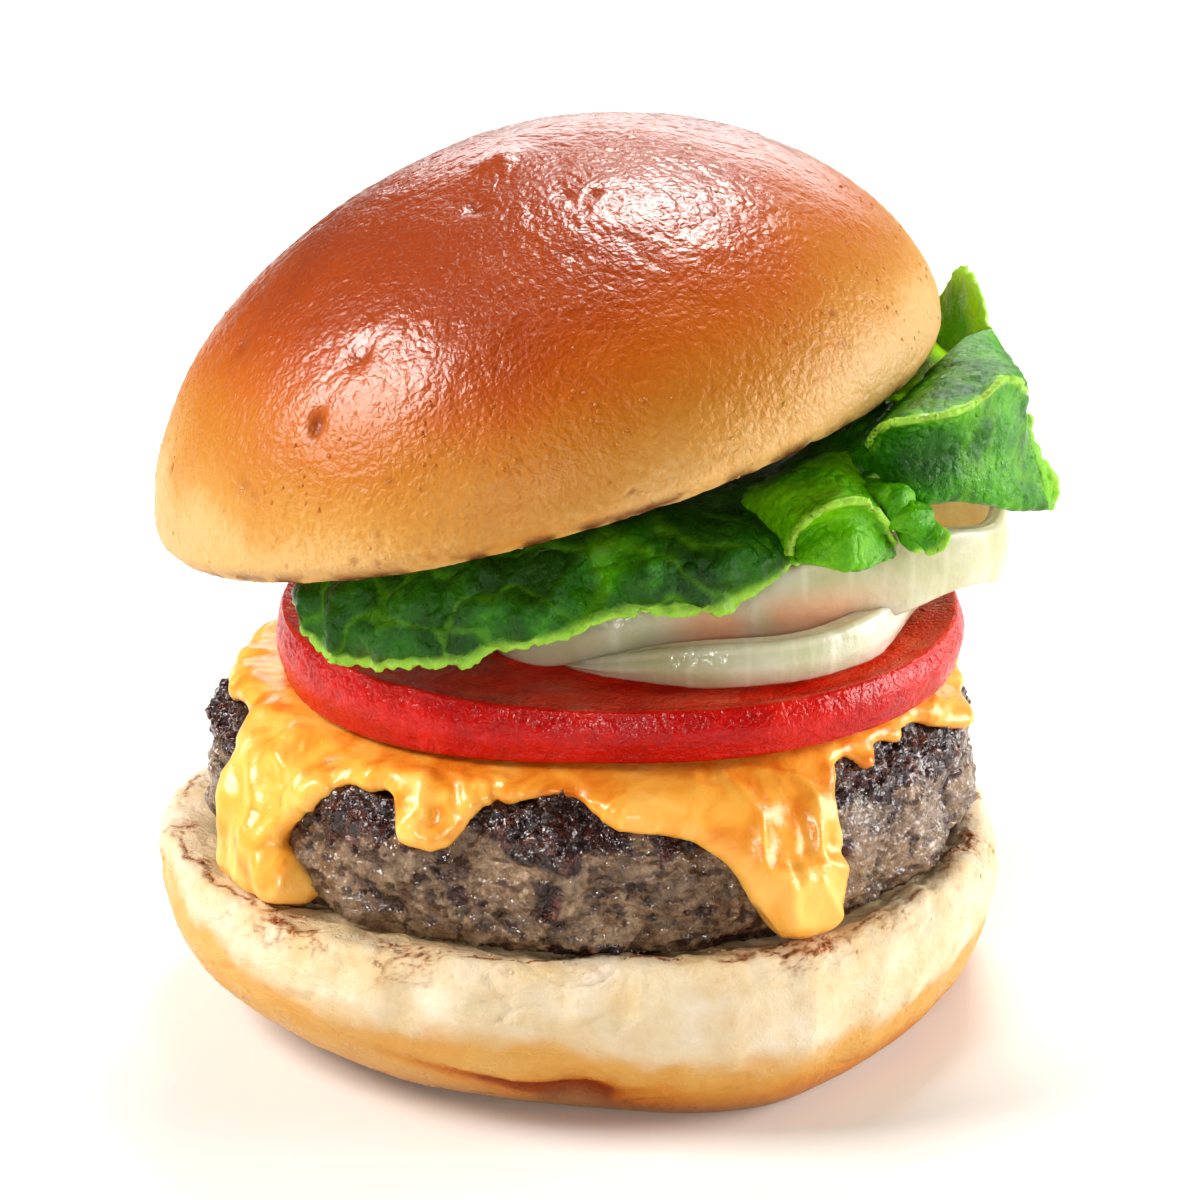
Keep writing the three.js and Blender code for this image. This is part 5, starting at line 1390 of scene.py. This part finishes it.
def lump_tree(name, field):
    """Nodes that set lumps on a skin, thickest where the field is 1, and each a little different."""
    tree = bpy.data.node_groups.new(name, "GeometryNodeTree")
    tree.interface.new_socket("Skin", in_out="INPUT", socket_type="NodeSocketGeometry")
    for size in ("Density", "Least", "Most", "Height"):
        tree.interface.new_socket(size, in_out="INPUT", socket_type="NodeSocketFloat")
    tree.interface.new_socket("Seed", in_out="INPUT", socket_type="NodeSocketInt")
    tree.interface.new_socket("Finish", in_out="INPUT", socket_type="NodeSocketMaterial")
    tree.interface.new_socket("Lumps", in_out="OUTPUT", socket_type="NodeSocketGeometry")
    given = add(tree, "NodeGroupInput").node.outputs
    where = add(tree, "GeometryNodeInputNamedAttribute", {"Name": field}, data_type="FLOAT")
    often = add(tree, "Math", {0: where, 1: given["Density"]}, operation="MULTIPLY")
    spots = add(tree, "GeometryNodeDistributePointsOnFaces", {
        "Mesh": given["Skin"], "Density": often, "Seed": given["Seed"]})
    sizes = [add(tree, "FunctionNodeRandomValue", {
        2: given["Least"], 3: given["Most"], "ID": extra, "Seed": given["Seed"]}, data_type="FLOAT")
        for extra in range(2)]
    flat = add(tree, "Math", {0: sizes[0], 1: given["Height"]}, operation="MULTIPLY")
    scale = add(tree, "CombineXYZ", {0: sizes[0], 1: sizes[1], 2: flat})
    ball = add(tree, "GeometryNodeMeshIcoSphere", {"Radius": 1.0, "Subdivisions": 1})
    round_ball = add(tree, "GeometryNodeSetShadeSmooth", {0: ball})
    placed = add(tree, "GeometryNodeInstanceOnPoints", {
        "Points": spots, "Rotation": spots.node.outputs["Rotation"],
        "Instance": round_ball, "Scale": scale})
    real = add(tree, "GeometryNodeRealizeInstances", {0: placed})
    dressed = add(tree, "GeometryNodeSetMaterial", {"Geometry": real, "Material": given["Finish"]})
    add(tree, "NodeGroupOutput", {0: dressed})
    return tree


def scatter(name, spec, skin):
    """The lumps of one kind on a piece, as a plain mesh with the piece's own finish."""
    tree = lump_tree(name, spec["where"])
    bearer = bpy.data.objects.new(name, skin.data)
    bpy.context.scene.collection.objects.link(bearer)
    maker = bearer.modifiers.new("lumps", "NODES")
    maker.node_group = tree
    values = {"Density": spec["density"] / MM ** 2, "Least": spec["least"] * MM, "Most": spec["most"] * MM,
              "Height": spec["height"], "Seed": spec["seed"], "Finish": skin.data.materials[0]}
    for socket in tree.interface.items_tree:
        if socket.in_out == "INPUT" and socket.name in values:
            maker[socket.identifier] = values[socket.name]
    view = bpy.context.evaluated_depsgraph_get()
    mesh = bpy.data.meshes.new_from_object(bearer.evaluated_get(view))
    bearer.modifiers.clear()
    bearer.data = mesh
    mesh.name = name
    return bearer


# ---- The burger ----

# The solid that a piece replaces, its slot, its material and the call that makes it
MADE = [
    ("bun_heel", "bun_heel", heel_material, make_heel),
    ("beef_patty", "beef", beef_material, make_patty),
    ("melted_cheese", "cheese", cheese_material, make_cheese),
    ("tomato_slice", "tomato", tomato_material, make_tomato),
    ("onion_ring_lower", "onion", onion_material,
     partial(make_onion, "onion_ring_flat", LOWER_ONION, 300)),
    ("onion_ring_upper", "onion", onion_material,
     partial(make_onion, "onion_ring_tipped", UPPER_ONION, 330)),
    ("lettuce_leaf_front", "lettuce", lettuce_material, make_front_leaf),
    ("lettuce_leaf_right", "lettuce", lettuce_material,
     partial(make_side_leaf, "lettuce_right", RIGHT_LEAF, 140)),
    ("lettuce_leaf_tall", "lettuce", lettuce_material,
     partial(make_side_leaf, "lettuce_tall", TALL_LEAF, 170)),
    (LEAF_CURL["node"], "lettuce", lettuce_material, partial(make_curl, 210)),
    ("bun_crown", "bun_crown", crust_material, make_crown),
]
for number, (name, spec) in enumerate(LEAF_FOLDS.items()):
    fold = partial(make_fold, name, spec, 220 + 20 * number)
    MADE.append((spec["node"], "lettuce", lettuce_material, fold))

finishes = {}
for node, slot, finish, make in MADE:
    piece = make()
    if finish not in finishes:
        finishes[finish] = finish()
    piece.data.materials.append(finishes[finish])
    lumps = [scatter(name, spec, piece) for name, spec in SCATTERS.items() if spec["on"] == piece.name]
    for each in [piece] + lumps:
        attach(each, "root")
        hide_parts(node)


# ---- Studio ----

# Metres and watts: [place, size, power]
LAMPS = {
    "softbox_top": [(0.08, 0.43, 0.72), (0.34, 0.17), 3.7],
    "softbox_left": [(-0.60, -0.03, 0.51), (0.32, 0.38), 6.0],
    "softbox_right": [(0.62, 0.04, 0.20), (0.46, 0.34), 4.4],
    "softbox_back": [(0.10, 0.85, 0.30), (0.7, 0.36), 1.7],
    "softbox_front": [(-0.12, -0.82, 0.30), (0.15, 0.12), 2.4],
}
LAMP_AIM = (0, 0, 0.05)
FLOOR_REACH = 3000
ROOM_GLOW = 0.08


def make_camera():
    """A long lens that looks down a little at the middle of the stack."""
    data = bpy.data.cameras.new("camera")
    data.lens = CAMERA["lens"]
    data.sensor_width = CAMERA["sensor"]
    data.clip_start, data.clip_end = 0.05, 20
    camera = bpy.data.objects.new("camera", data)
    rise = math.radians(CAMERA["elevation"])
    away = Vector((0, -math.cos(rise), math.sin(rise)))
    camera.location = (Vector(CAMERA["target"]) + away * CAMERA["distance"]) * MM
    camera.rotation_euler = (-away).to_track_quat("-Z", "Y").to_euler()
    bpy.context.scene.collection.objects.link(camera)
    bpy.context.scene.camera = camera


def softbox(name, place, size, power):
    """A large soft lamp that points at the burger."""
    data = bpy.data.lights.new(name, "AREA")
    data.shape = "RECTANGLE"
    data.size, data.size_y = size
    data.energy = power
    lamp = bpy.data.objects.new(name, data)
    lamp.location = place
    lamp.rotation_euler = (Vector(LAMP_AIM) - Vector(place)).to_track_quat("-Z", "Y").to_euler()
    bpy.context.scene.collection.objects.link(lamp)


def make_studio():
    """A pale floor in a faintly lit white room, with a softbox at each side."""
    corners = [[-1, -1, 0], [1, -1, 0], [1, 1, 0], [-1, 1, 0]]
    floor = make_mesh("studio_floor", np.array(corners) * FLOOR_REACH, [[0, 1, 2, 3]])
    paper, _, shader, _ = new_material("white_paper_floor")
    set_shader(shader, Base_Color=linear("EDE8E3"), Roughness=0.7)
    floor.data.materials.append(paper)
    world = bpy.data.worlds.new("white_room")
    world.use_nodes = True
    background = world.node_tree.nodes["Background"].inputs
    background["Color"].default_value = (1, 1, 1, 1)
    background["Strength"].default_value = ROOM_GLOW
    bpy.context.scene.world = world
    for name, (place, size, power) in LAMPS.items():
        softbox(name, place, size, power)
    bpy.context.scene.view_settings.view_transform = "Standard"
    bpy.context.scene.view_settings.look = "Medium High Contrast"


make_camera()
make_studio()
